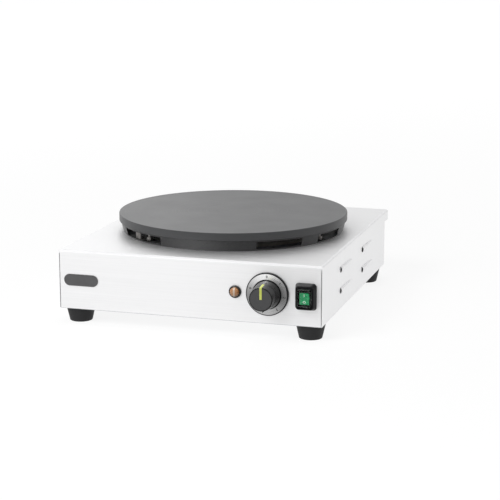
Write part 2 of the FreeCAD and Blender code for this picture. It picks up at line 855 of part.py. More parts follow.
def feet():
    """Tapered rubber feet, each held by a screw in its recess and a nut on the base plate."""
    body = new_body("foot_blank")
    prism(body, S.foot_bottom_radius, S.foot_height, FOOT_SIDES)
    flare = arctangent((S.foot_top_radius - S.foot_bottom_radius) / S.foot_height)
    slope(body, flare, lambda middle: True, True)
    prism(body, S.foot_recess_radius, S.foot_seat_height, 12, hole=True)
    prism(body, FOOT_SCREW_RADIUS + S.screw_play, S.foot_height, hole=True)
    copies(body, "feet", [(x, y, 0) for x, y in FOOT_PLACES])
    grip = S.foot_height - S.foot_seat_height + T
    beyond = FOOT_NUT_HEIGHT + END_SHOWING
    bolt = screw("foot_screw_blank", FOOT_SCREW_RADIUS, grip + beyond, FOOT_SCREW_HEAD, 3.5)
    upwards = Rotation(Vector(1, 0, 0), 180)
    copies(bolt, "foot_screws", [(x, y, S.foot_seat_height, upwards) for x, y in FOOT_PLACES])
    fixing = nut("foot_nut_blank", FOOT_SCREW_RADIUS + S.shaft_play, NUT_FLATS, FOOT_NUT_HEIGHT)
    copies(fixing, "foot_nuts", [(x, y, SHELL_BOTTOM) for x, y in FOOT_PLACES])


def panel_screws():
    """Screws that hold the base plate from below and the rear panel from behind."""
    upwards = Rotation(Vector(1, 0, 0), 180)
    outwards = Rotation(Vector(1, 0, 0), -90)
    head_radius, head_height, thread_showing = 3.8, 2.2, 5
    fixing = screw("panel_screw_blank", SCREW_RADIUS, T * 2 + thread_showing, head_radius,
                   head_height)
    copies(fixing, "base_screws", [(x, y, BASE, upwards) for x, y in BASE_SCREW_PLACES])
    copies(fixing, "rear_screws",
           [(x, REAR_WALL + T, z, outwards) for x, z in REAR_SCREW_PLACES])


def griddle_plate():
    """Cast plate with a deeper rim, bosses for its supports and for the element clamps."""
    body = new_body("griddle_plate_blank")
    place(body, 0, AXIS_Y, 0)
    profile = new_sketch(body, "XZ_Plane")
    outline(profile, [(0, RIM_BOTTOM), (S.plate_radius, RIM_BOTTOM),
                      (S.plate_radius, PLATE_TOP - S.plate_edge),
                      (S.plate_radius - S.plate_edge, PLATE_TOP), (0, PLATE_TOP)])
    revolve(body, profile)
    prism(body, S.plate_radius - S.plate_rim_width, PLATE_UNDER - RIM_BOTTOM, RIM_SIDES,
          RIM_BOTTOM, hole=True)

    clamp_boss = new_sketch(body, "XY_Plane", CLAMP_TOP)
    flats_round(clamp_boss, S.clamp_boss_ring, 0, S.boss_radius, 12)
    first = pad(body, clamp_boss, S.element_size)
    polar(body, [first], CLAMP_COUNT)

    support_bosses = new_sketch(body, "XY_Plane", PLATE_UNDER - S.support_boss_height)
    for angle in ANGLES_BRACKET + ANGLES_STUD:
        radius = S.support_ring_radius
        flats_round(support_bosses, radius * cosine(angle), radius * sine(angle), S.boss_radius, 12)
    pad(body, support_bosses, S.support_boss_height)

    taps = new_sketch(body, "XY_Plane", CLAMP_TOP)
    flats_round(taps, S.clamp_boss_ring, 0, STUD_RADIUS + S.shaft_play)
    tap = pocket(body, taps, TAP_DEPTH, "One side", backwards=True)
    polar(body, [tap], CLAMP_COUNT)

    clip_taps = new_sketch(body, "XY_Plane", PLATE_UNDER)
    for side in (-1, 1):
        flats_round(clip_taps, BULB_END_X - S.bulb_length / 2, side * CLIP_SCREW_Y,
                    SCREW_RADIUS + S.shaft_play)
    pocket(body, clip_taps, CLIP_TAP_DEPTH, "One side", backwards=True)

    deep_taps = new_sketch(body, "XY_Plane", PLATE_UNDER - S.support_boss_height)
    for angle in ANGLES_STUD:
        radius = S.support_ring_radius
        flats_round(deep_taps, radius * cosine(angle), radius * sine(angle),
                    STUD_RADIUS + S.shaft_play)
    pocket(body, deep_taps, TAP_DEPTH, "One side", backwards=True)
    return keep(body, "griddle_plate")


def carried_on(face, moves):
    """A bar of constant section: the face is carried along straight runs and round bends.

    A move is ("run", vector) or ("bend", centre, axis, angle)."""
    pieces = []
    for move in moves:
        if move[0] == "run":
            piece = face.extrude(move[1])
            face = face.copy()
            face.translate(move[1])
        else:
            piece = face.revolve(move[1], move[2], move[3])
            face = face.copy()
            face.rotate(move[1], move[2], move[3])
        pieces.append(piece)
    bar = pieces[0].multiFuse(pieces[1:]) if len(pieces) > 1 else pieces[0]
    return bar.removeSplitter()


def section_face(centre, normal, across, size, sides):
    """A regular polygon face about a centre, with its first flat's direction given."""
    along = Vector(normal).normalize()
    first = Vector(across).normalize()
    second = along.cross(first)
    corner = size / 2 / math.cos(math.pi / sides)
    points = []
    for index in range(sides):
        angle = 2 * math.pi * (index + 0.5) / sides
        spot = centre + first * (corner * math.cos(angle)) + second * (corner * math.sin(angle))
        points.append(spot)
    return Part.Face(Part.makePolygon(points + [points[0]]))


def shaped(label, shape):
    """A piece whose shape the script works out from the sheet's sizes."""
    piece = doc.addObject("Part::Feature", label)
    piece.Shape = shape
    return keep(piece, label)


def element(label, radius):
    """A ring heater open at one place, where its two ends turn down as legs with pins."""
    body = new_body(label + "_blank")
    place(body, 0, AXIS_Y, 0, Rotation(Vector(0, 0, 1), ELEMENT_ANGLE))
    half = S.element_size / 2
    prism(body, radius + half, S.element_size, HIDDEN_SIDES, CLAMP_TOP)
    prism(body, radius - half, S.element_size, HIDDEN_SIDES, CLAMP_TOP, hole=True)
    gap = new_sketch(body, "XY_Plane", CLAMP_TOP)
    rectangle(gap, radius - half * 3, radius + half * 3, -S.element_gap / 2, S.element_gap / 2)
    pocket(body, gap, S.element_size * 3)
    legs = new_sketch(body, "XY_Plane", LEG_END)
    pins = new_sketch(body, "XY_Plane", LEG_END - PIN_LENGTH)
    angle = as_size(ELEMENT_ANGLE)
    for side in (-1, 1):
        aside = (S.element_gap / 2 + half) * side
        rectangle(legs, radius - half, radius + half, aside - half, aside + half)
        flats_round(pins, radius, aside, PIN_RADIUS * cosine(as_size(30)))
        LEGS.append((radius * cosine(angle) - aside * sine(angle),
                     AXIS_Y + radius * sine(angle) + aside * cosine(angle)))
    pad(body, legs, PLATE_UNDER - LEG_END - T / 2)
    pad(body, pins, PIN_LENGTH)
    keep(body, label)


def heating_unit():
    """Two ring elements clamped under the plate, the blanket, the pan and their fasteners."""
    element("inner_element", S.inner_element_radius)
    element("outer_element", S.outer_element_radius)

    clamp = new_body("element_clamp_blank")
    disc = new_sketch(clamp, "XY_Plane", CLAMP_TOP - S.clamp_plate_thickness)
    flats_round(disc, 0, AXIS_Y, S.clamp_plate_radius, HIDDEN_SIDES)
    flats_round(disc, 0, AXIS_Y, S.clamp_plate_hole, 16)
    pad(clamp, disc, S.clamp_plate_thickness)
    holes = new_sketch(clamp, "XY_Plane", CLAMP_TOP)
    for index in range(CLAMP_COUNT):
        x, y = around(S.clamp_boss_ring, as_size(360 / CLAMP_COUNT * index))
        flats_round(holes, x, y, STUD_RADIUS + S.part_gap)
    for x, y in LEGS:
        flats_round(holes, x, y, CLAMP_LEG_HOLE)
    pocket(clamp, holes, THROUGH)
    keep(clamp, "element_clamp")

    blanket = new_body("insulation_blank")
    low = PAN_FLOOR + T
    mat = new_sketch(blanket, "XY_Plane", low)
    flats_round(mat, 0, AXIS_Y, S.pan_radius - S.part_gap * 3, HIDDEN_SIDES)
    flats_round(mat, 0, AXIS_Y, S.pan_hole_radius)
    pad(blanket, mat, S.blanket_thickness)
    cuts = new_sketch(blanket, "XY_Plane", low)
    for x, y in LEGS:
        flats_round(cuts, x, y, LEG_HOLE)
    pocket(blanket, cuts, S.blanket_thickness * 3)
    keep(blanket, "insulation_blanket")

    pan = new_body("heat_pan_blank")
    place(pan, 0, AXIS_Y, 0)
    dish = new_sketch(pan, "XY_Plane", PAN_FLOOR)
    flats_round(dish, 0, 0, S.pan_radius + T, HIDDEN_SIDES)
    pad(pan, dish, S.pan_depth)
    flange = new_sketch(pan, "XY_Plane", DECK)
    flats_round(flange, 0, 0, S.pan_flange_radius, HIDDEN_SIDES)
    pad(pan, flange, T)
    hollow = new_sketch(pan, "XY_Plane", PAN_FLOOR + T)
    flats_round(hollow, 0, 0, S.pan_radius, HIDDEN_SIDES)
    pocket(pan, hollow, S.pan_depth, "One side", backwards=True)
    centre = new_sketch(pan, "XY_Plane", PAN_FLOOR)
    flats_round(centre, 0, 0, S.pan_hole_radius)
    pocket(pan, centre, THROUGH)
    openings = new_sketch(pan, "XY_Plane", PAN_FLOOR)
    for x, y in LEGS:
        flats_round(openings, x, y - AXIS_Y, LEG_HOLE)
    pocket(pan, openings, THROUGH)
    flange_holes = new_sketch(pan, "XY_Plane", DECK)
    for radius, angle in DECK_HOLES:
        flats_round(flange_holes, radius * cosine(angle), radius * sine(angle),
                    STUD_RADIUS + S.screw_play)
    pocket(pan, flange_holes, THROUGH)
    keep(pan, "heat_pan")

    bush = new_body("element_bush_blank")
    prism(bush, BUSH_RADIUS, BUSH_HEIGHT)
    prism(bush, PIN_RADIUS + S.shaft_play, BUSH_HEIGHT, hole=True)
    copies(bush, "element_bushes", [(x, y, LEG_END - BUSH_HEIGHT) for x, y in LEGS])

    below = S.clamp_plate_thickness + CLAMP_NUT_HEIGHT + END_SHOWING
    rod = stud("clamp_stud_blank", STUD_RADIUS, below + TAP_DEPTH - TAP_SHY)
    low_end = CLAMP_TOP - below
    spots = [around(S.clamp_boss_ring, as_size(360 / CLAMP_COUNT * index))
             for index in range(CLAMP_COUNT)]
    copies(rod, "clamp_studs", [(x, y, low_end) for x, y in spots])
    fixing = nut("clamp_nut_blank", STUD_RADIUS + S.shaft_play, NUT_FLATS, CLAMP_NUT_HEIGHT)
    copies(fixing, "clamp_nuts",
           [(x, y, CLAMP_TOP - S.clamp_plate_thickness - CLAMP_NUT_HEIGHT) for x, y in spots])


def supports():
    """Channel brackets under the plate, hold-down studs, and their screws and nuts."""
    low = DECK + T
    high = PLATE_UNDER - S.support_boss_height
    strap = S.bracket_radius - S.bracket_thickness
    body = new_body("bracket_blank")
    profile = new_sketch(body, "XZ_Plane")
    foot_end = S.bracket_screw_ring - BRACKET_FOOT
    outline(profile, [(foot_end, low), (S.bracket_radius, low), (S.bracket_radius, high),
                      (S.support_ring_radius - S.boss_radius, high),
                      (S.support_ring_radius - S.boss_radius, high - S.bracket_thickness),
                      (strap, high - S.bracket_thickness), (strap, low + S.bracket_thickness),
                      (foot_end, low + S.bracket_thickness)])
    pad(body, profile, S.bracket_width, "Symmetric")
    hole = new_sketch(body, "XY_Plane", low)
    flats_round(hole, S.bracket_screw_ring, 0, BRACKET_SCREW + S.screw_play)
    pocket(body, hole, THROUGH)
    turned = [Rotation(Vector(0, 0, 1), angle.value) for angle in ANGLES_BRACKET]
    copies(body, "plate_brackets", [(0, AXIS_Y, 0, turn) for turn in turned])

    grip = T * 2 + S.bracket_thickness
    bolt = screw("bracket_screw_blank", BRACKET_SCREW, grip + BRACKET_NUT_HEIGHT + END_SHOWING,
                 BRACKET_SCREW_HEAD, 2.6)
    spots = [around(S.bracket_screw_ring, angle) for angle in ANGLES_BRACKET]
    copies(bolt, "bracket_screws", [(x, y, low + S.bracket_thickness) for x, y in spots])
    bolt_nut = nut("bracket_nut_blank", BRACKET_SCREW + S.shaft_play, SMALL_NUT_FLATS,
                   BRACKET_NUT_HEIGHT)
    copies(bolt_nut, "bracket_nuts", [(x, y, DECK - T - BRACKET_NUT_HEIGHT) for x, y in spots])

    low_end = DECK - T - HOLD_NUT_HEIGHT - END_SHOWING
    rod = stud("hold_down_stud_blank", STUD_RADIUS, high + TAP_DEPTH - TAP_SHY - low_end)
    spots = [around(S.support_ring_radius, angle) for angle in ANGLES_STUD]
    copies(rod, "hold_down_studs", [(x, y, low_end) for x, y in spots])
    rod_nut = nut("hold_down_nut_blank", STUD_RADIUS + S.shaft_play, NUT_FLATS, HOLD_NUT_HEIGHT)
    heights = (DECK - T - HOLD_NUT_HEIGHT, low + S.skirt_wall)
    copies(rod_nut, "hold_down_nuts", [(x, y, z) for x, y in spots for z in heights])


def skirt_ring():
    """Black conical ring between deck and plate, with windows and four fixing tabs."""
    body = new_body("skirt_ring_blank")
    place(body, 0, AXIS_Y, DECK)
    height = RIM_BOTTOM - S.part_gap - DECK
    flare = arctangent((S.skirt_top_radius - S.skirt_bottom_radius) / height)
    prism(body, S.skirt_bottom_radius, height, SKIRT_SIDES)
    slope(body, flare, lambda middle: True, True)
    bore = S.skirt_bottom_radius - S.skirt_wall
    prism(body, bore * cosine(as_size(180 / SKIRT_SIDES)), height, SKIRT_SIDES, hole=True)
    slope(body, flare, lambda middle: middle.x ** 2 + middle.y ** 2 < bore.value ** 2, False)
    cuts = new_sketch(body, "XY_Plane", S.window_sill)
    clear = S.skirt_wall * 10
    inner, outer = S.skirt_bottom_radius - clear, S.skirt_top_radius + clear
    for start, end in WINDOWS:
        for half_turn in (0, 180):
            first, last = as_size(start + half_turn), as_size(end + half_turn)
            outline(cuts, [(inner * cosine(first), inner * sine(first)),
                           (outer * cosine(first), outer * sine(first)),
                           (outer * cosine(last), outer * sine(last)),
                           (inner * cosine(last), inner * sine(last))])
    pocket(body, cuts, S.window_height, "One side", backwards=True)
    tabs = new_sketch(body, "XY_Plane", T)
    near_end = S.support_ring_radius - S.boss_radius
    far_end = S.skirt_bottom_radius - S.skirt_wall / 2
    half = S.boss_radius
    for angle in ANGLES_STUD:
        corners = [(near_end, -half), (far_end, -half), (far_end, half), (near_end, half)]
        outline(tabs, [(out * cosine(angle) - aside * sine(angle),
                        out * sine(angle) + aside * cosine(angle)) for out, aside in corners])
    pad(body, tabs, S.skirt_wall)
    holes = new_sketch(body, "XY_Plane", T)
    for angle in ANGLES_STUD:
        radius = S.support_ring_radius
        flats_round(holes, radius * cosine(angle), radius * sine(angle),
                    STUD_RADIUS + S.screw_play)
    pocket(body, holes, THROUGH)
    return keep(body, "skirt_ring")


def run_and_bend(points, bend):
    """The runs and tangent bends of a bar through the points."""
    moves = []
    spot = points[0]
    for before, corner, after in zip(points, points[1:], points[2:]):
        arriving = (corner - before).normalize()
        leaving = (after - corner).normalize()
        turn = arriving.getAngle(leaving)
        back = bend * math.tan(turn / 2)
        axis = arriving.cross(leaving).normalize()
        start = corner - arriving * back
        moves.append(("run", start - spot))
        moves.append(("bend", start + axis.cross(arriving) * bend, axis, math.degrees(turn)))
        spot = corner + leaving * back
    moves.append(("run", points[-1] - spot))
    return moves


def tube(label, points, size, bend, sides=4):
    """A thin bar of round stock, drawn with a few flats, along straight runs and bends."""
    ahead = (points[1] - points[0]).normalize()
    across = Vector(0, 0, 1) if abs(ahead.z) < 0.9 else Vector(1, 0, 0)
    across = ahead.cross(across)
    face = section_face(points[0], ahead, across, size, sides)
    return shaped(label, carried_on(face, run_and_bend(points, bend)))


def temperature_sensor():
    """The thermostat's bulb under the plate, its clip and screws, and its thin tube."""
    bulb_z = PLATE_UNDER - S.bulb_radius - S.shaft_play
    end_x = BULB_END_X
    bulb = new_body("sensor_bulb_blank")
    prism(bulb, S.bulb_radius, S.bulb_length, 12)
    place(bulb, end_x - S.bulb_length, AXIS_Y, bulb_z, Rotation(Vector(0, 1, 0), 90))
    keep(bulb, "sensor_bulb")

    clip = new_body("sensor_clip_blank")
    place(clip, end_x - S.bulb_length / 2, AXIS_Y, 0)
    saddle = S.bulb_radius + S.part_gap
    foot = CLIP_SCREW_Y + CLIP_EAR
    drop = PLATE_UNDER - S.bulb_radius * 2 - S.part_gap
    profile = new_sketch(clip, "YZ_Plane")
    outline(profile, [
        (-foot, PLATE_UNDER), (-foot, PLATE_UNDER - T), (-saddle - T, PLATE_UNDER - T),
        (-saddle - T, drop - T), (saddle + T, drop - T), (saddle + T, PLATE_UNDER - T),
        (foot, PLATE_UNDER - T), (foot, PLATE_UNDER), (saddle, PLATE_UNDER), (saddle, drop),
        (-saddle, drop), (-saddle, PLATE_UNDER)])
    pad(clip, profile, CLIP_WIDTH, "Symmetric")
    holes = new_sketch(clip, "XY_Plane", PLATE_UNDER)
    for side in (-1, 1):
        flats_round(holes, 0, side * CLIP_SCREW_Y, SCREW_RADIUS + S.screw_play)
    pocket(clip, holes, THROUGH)
    keep(clip, "sensor_clip")
    bolt = screw("clip_screw_blank", SCREW_RADIUS, T + CLIP_TAP_DEPTH - 1, DIAL_SCREW_HEAD, 2)
    upwards = Rotation(Vector(1, 0, 0), 180)
    copies(bolt, "clip_screws", [
        (end_x - S.bulb_length / 2, AXIS_Y + side * CLIP_SCREW_Y, PLATE_UNDER - T, upwards)
        for side in (-1, 1)])

    behind = FRONT + T + THERMOSTAT_DEPTH
    z_low = PAN_FLOOR - CAPILLARY_DROP
    route = [Vector(end_x.value, AXIS_Y.value, bulb_z.value),
             Vector(0, AXIS_Y.value, bulb_z.value),
             Vector(0, AXIS_Y.value, z_low.value),
             Vector(S.dial_x.value, (behind + CAPILLARY_RUN * 2).value, z_low.value),
             Vector(S.dial_x.value, (behind + CAPILLARY_RUN).value, CONTROLS_Z.value),
             Vector(S.dial_x.value, behind.value, CONTROLS_Z.value)]
    tube("capillary_tube", route, S.capillary_radius.value * 2, CAPILLARY_BEND)


def name_badge():
    """Blank pill-shaped badge stuck to the front."""
    body = new_body("name_badge_blank")
    place(body, S.badge_x, FRONT, BASE + S.controls_height, FACING_FRONT)
    face = new_sketch(body, "XY_Plane")
    straight = (S.badge_width - S.badge_height) / 2
    half = S.badge_height / 2
    # The end arcs' radius is a hair over half the height, so that each has one shape only.
    slim = half * 1.0001
    outline(face, [(-straight, -half), (straight, -half, -slim), (straight, half),
                   (-straight, half, -slim)])
    pad(body, face, S.badge_thickness)
    return keep(body, "name_badge")


def indicator_lamp():
    """Heating lamp: a black bezel, an amber dome, and the holder and clip behind the panel."""
    spot = (S.lamp_x, FRONT, CONTROLS_Z, FACING_FRONT)
    bezel = new_body("lamp_bezel_blank")
    place(bezel, *spot)
    prism(bezel, S.lamp_bezel_radius, LAMP_RIM, ROUND_SIDES)
    prism(bezel, S.lamp_lens_radius + S.shaft_play, LAMP_RIM, ROUND_SIDES, hole=True)
    keep(bezel, "lamp_bezel")

    lens = new_body("lamp_lens_blank")
    wall = LAMP_RIM + LENS_RIM
    place(lens, S.lamp_x, FRONT - wall, CONTROLS_Z, FACING_FRONT)
    prism(lens, S.lamp_lens_radius, LENS_RISE, ROUND_SIDES)
    slope(lens, LENS_SLOPE, lambda middle: True, False)
    prism(lens, S.lamp_lens_radius, wall, ROUND_SIDES, -wall)
    keep(lens, "lamp_lens")

    holder = new_body("lamp_holder_blank")
    place(holder, *spot)
    prism(holder, S.lamp_neck_radius, LAMP_NECK, 12, -LAMP_NECK)
    prism(holder, LAMP_TAIL_RADIUS, LAMP_TAIL, 12, -LAMP_NECK - LAMP_TAIL)
    keep(holder, "lamp_holder")
    clip = nut("lamp_nut_blank", S.lamp_neck_radius + S.shaft_play, LAMP_NUT_FLATS, LAMP_NUT)
    place(clip, S.lamp_x, FRONT + T + LAMP_NUT, CONTROLS_Z, FACING_FRONT)
    keep(clip, "lamp_nut")


def dial():
    """Black dial base screwed to the thermostat, with the bright face ring on it."""
    spot = (S.dial_x, FRONT, CONTROLS_Z, FACING_FRONT)
    base = new_body("dial_base_blank")
    place(base, *spot)
    prism(base, S.dial_radius, DIAL_SEAT, DIAL_SIDES)
    recess = DIAL_SEAT - DIAL_FLOOR
    prism(base, DIAL_RECESS_RADIUS, recess, ROUND_SIDES, DIAL_FLOOR, hole=True)
    prism(base, BUSHING_HOLE, DIAL_SEAT, 12, hole=True)
    holes = new_sketch(base, "XY_Plane", DIAL_FLOOR)
    for side in (-1, 1):
        flats_round(holes, side * DIAL_SCREW_X, 0, SCREW_RADIUS + S.screw_play)
    pocket(base, holes, THROUGH)
    keep(base, "dial_base")

    ring = new_body("dial_face_blank")
    place(ring, *spot)
    prism(ring, S.dial_face_outer, DIAL_PLATE, DIAL_SIDES, DIAL_SEAT)
    prism(ring, S.dial_face_inner, DIAL_PLATE, DIAL_SIDES, DIAL_SEAT, hole=True)
    keep(ring, "dial_face")

    length = DIAL_FLOOR + T + THERMOSTAT_TAP - 1
    bolt = screw("dial_screw_blank", SCREW_RADIUS, length, DIAL_SCREW_HEAD, 2)
    copies(bolt, "dial_screws",
           [(S.dial_x + side * DIAL_SCREW_X, FRONT - DIAL_FLOOR, CONTROLS_Z, FACING_FRONT)
            for side in (-1, 1)])


def knob():
    """Hollow knob on the thermostat's shaft, with a matt front and a bright pointer."""
    back = S.dial_height + S.knob_gap
    spot = (S.dial_x, FRONT - back, CONTROLS_Z, FACING_FRONT)
    front = S.knob_reach - KNOB_POINTER_PROUD - back
    lip = S.knob_front_radius - KNOB_LIP
    seat = front - CAP_DEPTH
    hub = S.shaft_radius + KNOB_HUB_WALL
    bore = S.shaft_radius + S.shaft_play
    roof = seat - KNOB_ROOF
    body = new_body("knob_body_blank")
    place(body, *spot)
    prism(body, S.knob_base_radius, front, KNOB_SIDES)
    taper = arctangent((S.knob_base_radius - S.knob_front_radius) / front)
    slope(body, taper, lambda middle: True, False)
    prism(body, S.knob_front_radius - KNOB_WALL, roof, ROUND_SIDES, hole=True)
    prism(body, hub, roof - KNOB_HUB_SHY, 12, KNOB_HUB_SHY)
    prism(body, bore, roof - SHAFT_SHY / 2, HEAD_SIDES, hole=True)
    prism(body, lip, front - seat, ROUND_SIDES, seat, hole=True)
    slot = new_sketch(body, "YZ_Plane")
    foot = front - POINTER_SIDE
    slope_y = S.knob_front_radius + POINTER_SPREAD
    floor = seat + S.shaft_play * 2
    beyond = slope_y + KNOB_WALL * 3
    outline(slot, [(0, floor), (S.knob_front_radius - POINTER_DEPTH, floor),
                   (slope_y - POINTER_DEPTH, foot - S.screw_play),
                   (beyond, foot - S.screw_play), (beyond, front + KNOB_WALL),
                   (0, front + KNOB_WALL)])
    pocket(body, slot, S.pointer_width + S.shaft_play * 2)
    keep(body, "knob_body")

    cap = new_body("knob_cap_blank")
    place(cap, *spot)
    prism(cap, lip - S.shaft_play, CAP_DEPTH - S.screw_play, ROUND_SIDES, seat)
    groove = new_sketch(cap, "XY_Plane", seat)
    half = S.pointer_width / 2 + S.shaft_play
    rectangle(groove, -half, half, -S.shaft_play * 2, S.knob_front_radius + KNOB_WALL)
    pocket(cap, groove, THROUGH)
    keep(cap, "knob_cap")

    mark = new_body("knob_pointer_blank")
    place(mark, *spot)
    shape = new_sketch(mark, "YZ_Plane")
    under = seat + S.shaft_play * 3
    inset = POINTER_DEPTH - S.shaft_play * 2
    proud = POINTER_PROUD
    outline(shape, [(0, under), (S.knob_front_radius - inset, under),
                    (slope_y - inset, foot), (slope_y + proud, foot),
                    (S.knob_front_radius + proud, front - proud * 2),
                    (S.knob_front_radius - proud * 2, front + proud), (0, front + proud)])
    pad(mark, shape, S.pointer_width, "Symmetric")
    keep(mark, "knob_pointer")

    shaft = new_body("thermostat_shaft_blank")
    place(shaft, *spot)
    inwards = SHAFT_DEPTH + back
    rod = new_sketch(shaft, "XY_Plane", -inwards)
    circle(rod, 0, 0, S.shaft_radius)
    pad(shaft, rod, inwards + roof - SHAFT_SHY)
    flat = new_sketch(shaft, "XY_Plane", KNOB_HUB_SHY + 1)
    rectangle(flat, -S.shaft_radius * 2, S.shaft_radius * 2, S.shaft_radius * SHAFT_FLAT,
              S.shaft_radius * 2)
    pocket(shaft, flat, front, "One side", backwards=True)
    keep(shaft, "thermostat_shaft")


def thermostat():
    """Capillary thermostat behind the dial: front plate, moulded case and terminals."""
    body = new_body("thermostat_blank")
    place(body, S.dial_x, FRONT, CONTROLS_Z, FACING_FRONT)
    plate = new_sketch(body, "XY_Plane", -T)
    rectangle(plate, -PLATE_HALF_X, PLATE_HALF_X, -PLATE_HALF_Y, PLATE_HALF_Y)
    pad(body, plate, PLATE_GAUGE, backwards=True)
    case = new_sketch(body, "XY_Plane", -T - PLATE_GAUGE)
    rectangle(case, -CASE_HALF_X, CASE_HALF_X, -CASE_HALF_Y, CASE_HALF_Y)
    pad(body, case, THERMOSTAT_DEPTH - PLATE_GAUGE, backwards=True)
    bushing = new_sketch(body, "XY_Plane", -T)
    flats_round(bushing, 0, 0, BUSHING_HOLE - T / 2, 12)
    pad(body, bushing, T * 2)
    bore = new_sketch(body, "XY_Plane", T)
    circle(bore, 0, 0, S.shaft_radius + S.shaft_play)
    pocket(body, bore, SHAFT_DEPTH + T * 3, "One side")
    taps = new_sketch(body, "XY_Plane", -T)
    for side in (-1, 1):
        flats_round(taps, side * DIAL_SCREW_X, 0, SCREW_RADIUS + S.shaft_play)
    pocket(body, taps, THERMOSTAT_TAP, "One side")
    keep(body, "thermostat_body")


def power_switch():
    """Rocker switch in a tapered black frame, under a clear splash cover."""
    spot = (S.switch_x, FRONT, CONTROLS_Z, FACING_FRONT)
    frame = new_body("switch_frame_blank")
    place(frame, *spot)
    low = new_sketch(frame, "XY_Plane")
    corner_cut_rectangle(low, S.switch_width, S.switch_height, SWITCH_CORNER)
    pad(frame, low, S.switch_depth)
    slope(frame, arctangent(S.switch_taper / S.switch_depth), lambda middle: True, False)
    window = new_sketch(frame, "XY_Plane")
    half_x = SWITCH_BODY_WIDTH / 2 + S.shaft_play * 2
    half_y = SWITCH_BODY_HEIGHT / 2 + S.shaft_play * 2
    rectangle(window, -half_x, half_x, -half_y, half_y)
    pocket(frame, window, S.switch_depth * 4)
    keep(frame, "switch_frame")

    body = new_body("switch_body_blank")
    place(body, *spot)
    outer_x, outer_y = SWITCH_BODY_WIDTH / 2, SWITCH_BODY_HEIGHT / 2
    case = new_sketch(body, "XY_Plane", -SWITCH_BODY_DEPTH)
    rectangle(case, -outer_x, outer_x, -outer_y, outer_y)
    pad(body, case, SWITCH_BODY_DEPTH + SWITCH_WALL_TOP)
    well = new_sketch(body, "XY_Plane", SWITCH_WALL_TOP)
    half_x = S.rocker_width / 2 + ROCKER_PLAY
    half_y = outer_y - SWITCH_BODY_WALL
    rectangle(well, -half_x, half_x, -half_y, half_y)
    pocket(body, well, SWITCH_WALL_TOP - ROCKER_PLAY, "One side")
    pins = new_sketch(body, "YZ_Plane")
    circle(pins, 0, ROCKER_PIVOT, PIVOT_RADIUS + S.shaft_play)
    pocket(body, pins, S.switch_width * 2)
    keep(body, "switch_body")

    rocker = new_body("rocker_blank")
    half = S.rocker_length / 2
    profile = new_sketch(rocker, "YZ_Plane")
    crest = ROCKER_FACE - ROCKER_PIVOT
    outline(profile, [(-half + 4, -2.5), (half - 4, -2.5), (half - 1.2, 2), (half, crest - 1),
                      (half, crest), (0, crest - half * 0.12), (-half, crest),
                      (-half, crest - 1), (-half + 1.2, 2)])
    pad(rocker, profile, S.rocker_width, "Symmetric")
    axle = new_sketch(rocker, "YZ_Plane")
    circle(axle, 0, 0, PIVOT_RADIUS)
    pad(rocker, axle, SWITCH_BODY_WIDTH - S.part_gap * 2, "Symmetric")
    tilt = Rotation(Vector(1, 0, 0), 90 + S.rocker_swing.value)
    place(rocker, S.switch_x, FRONT - ROCKER_PIVOT, CONTROLS_Z, tilt)
    keep(rocker, "switch_rocker")

    cover = new_body("switch_cover_blank")
    place(cover, *spot)
    base = new_sketch(cover, "XY_Plane", S.switch_depth)
    wide, tall = SWITCH_BODY_WIDTH + COVER_LAP * 2, SWITCH_BODY_HEIGHT + COVER_LAP * 2
    corner_cut_rectangle(base, wide, tall, COVER_CORNER)
    pad(cover, base, COVER_RISE)
    inside = new_sketch(cover, "XY_Plane", S.switch_depth)
    corner_cut_rectangle(inside, wide - COVER_WALL * 2, tall - COVER_WALL * 2,
                         COVER_CORNER - COVER_WALL)
    pocket(cover, inside, COVER_RISE - COVER_ROOF, "One side", backwards=True)
    keep(cover, "switch_cover")

    tab = new_body("switch_tab_blank")
    blade = new_sketch(tab, "XY_Plane")
    rectangle(blade, -TAB_WIDTH / 2, TAB_WIDTH / 2, -TAB_GAUGE / 2, TAB_GAUGE / 2)
    pad(tab, blade, TAB_LENGTH, backwards=True)
    copies(tab, "switch_tabs",
           [(S.switch_x + side * TAB_SPREAD_X, FRONT + SWITCH_BODY_DEPTH,
             CONTROLS_Z + up * TAB_SPREAD_Z, FACING_FRONT)
            for side in (-1, 1) for up in (-1, 1)])


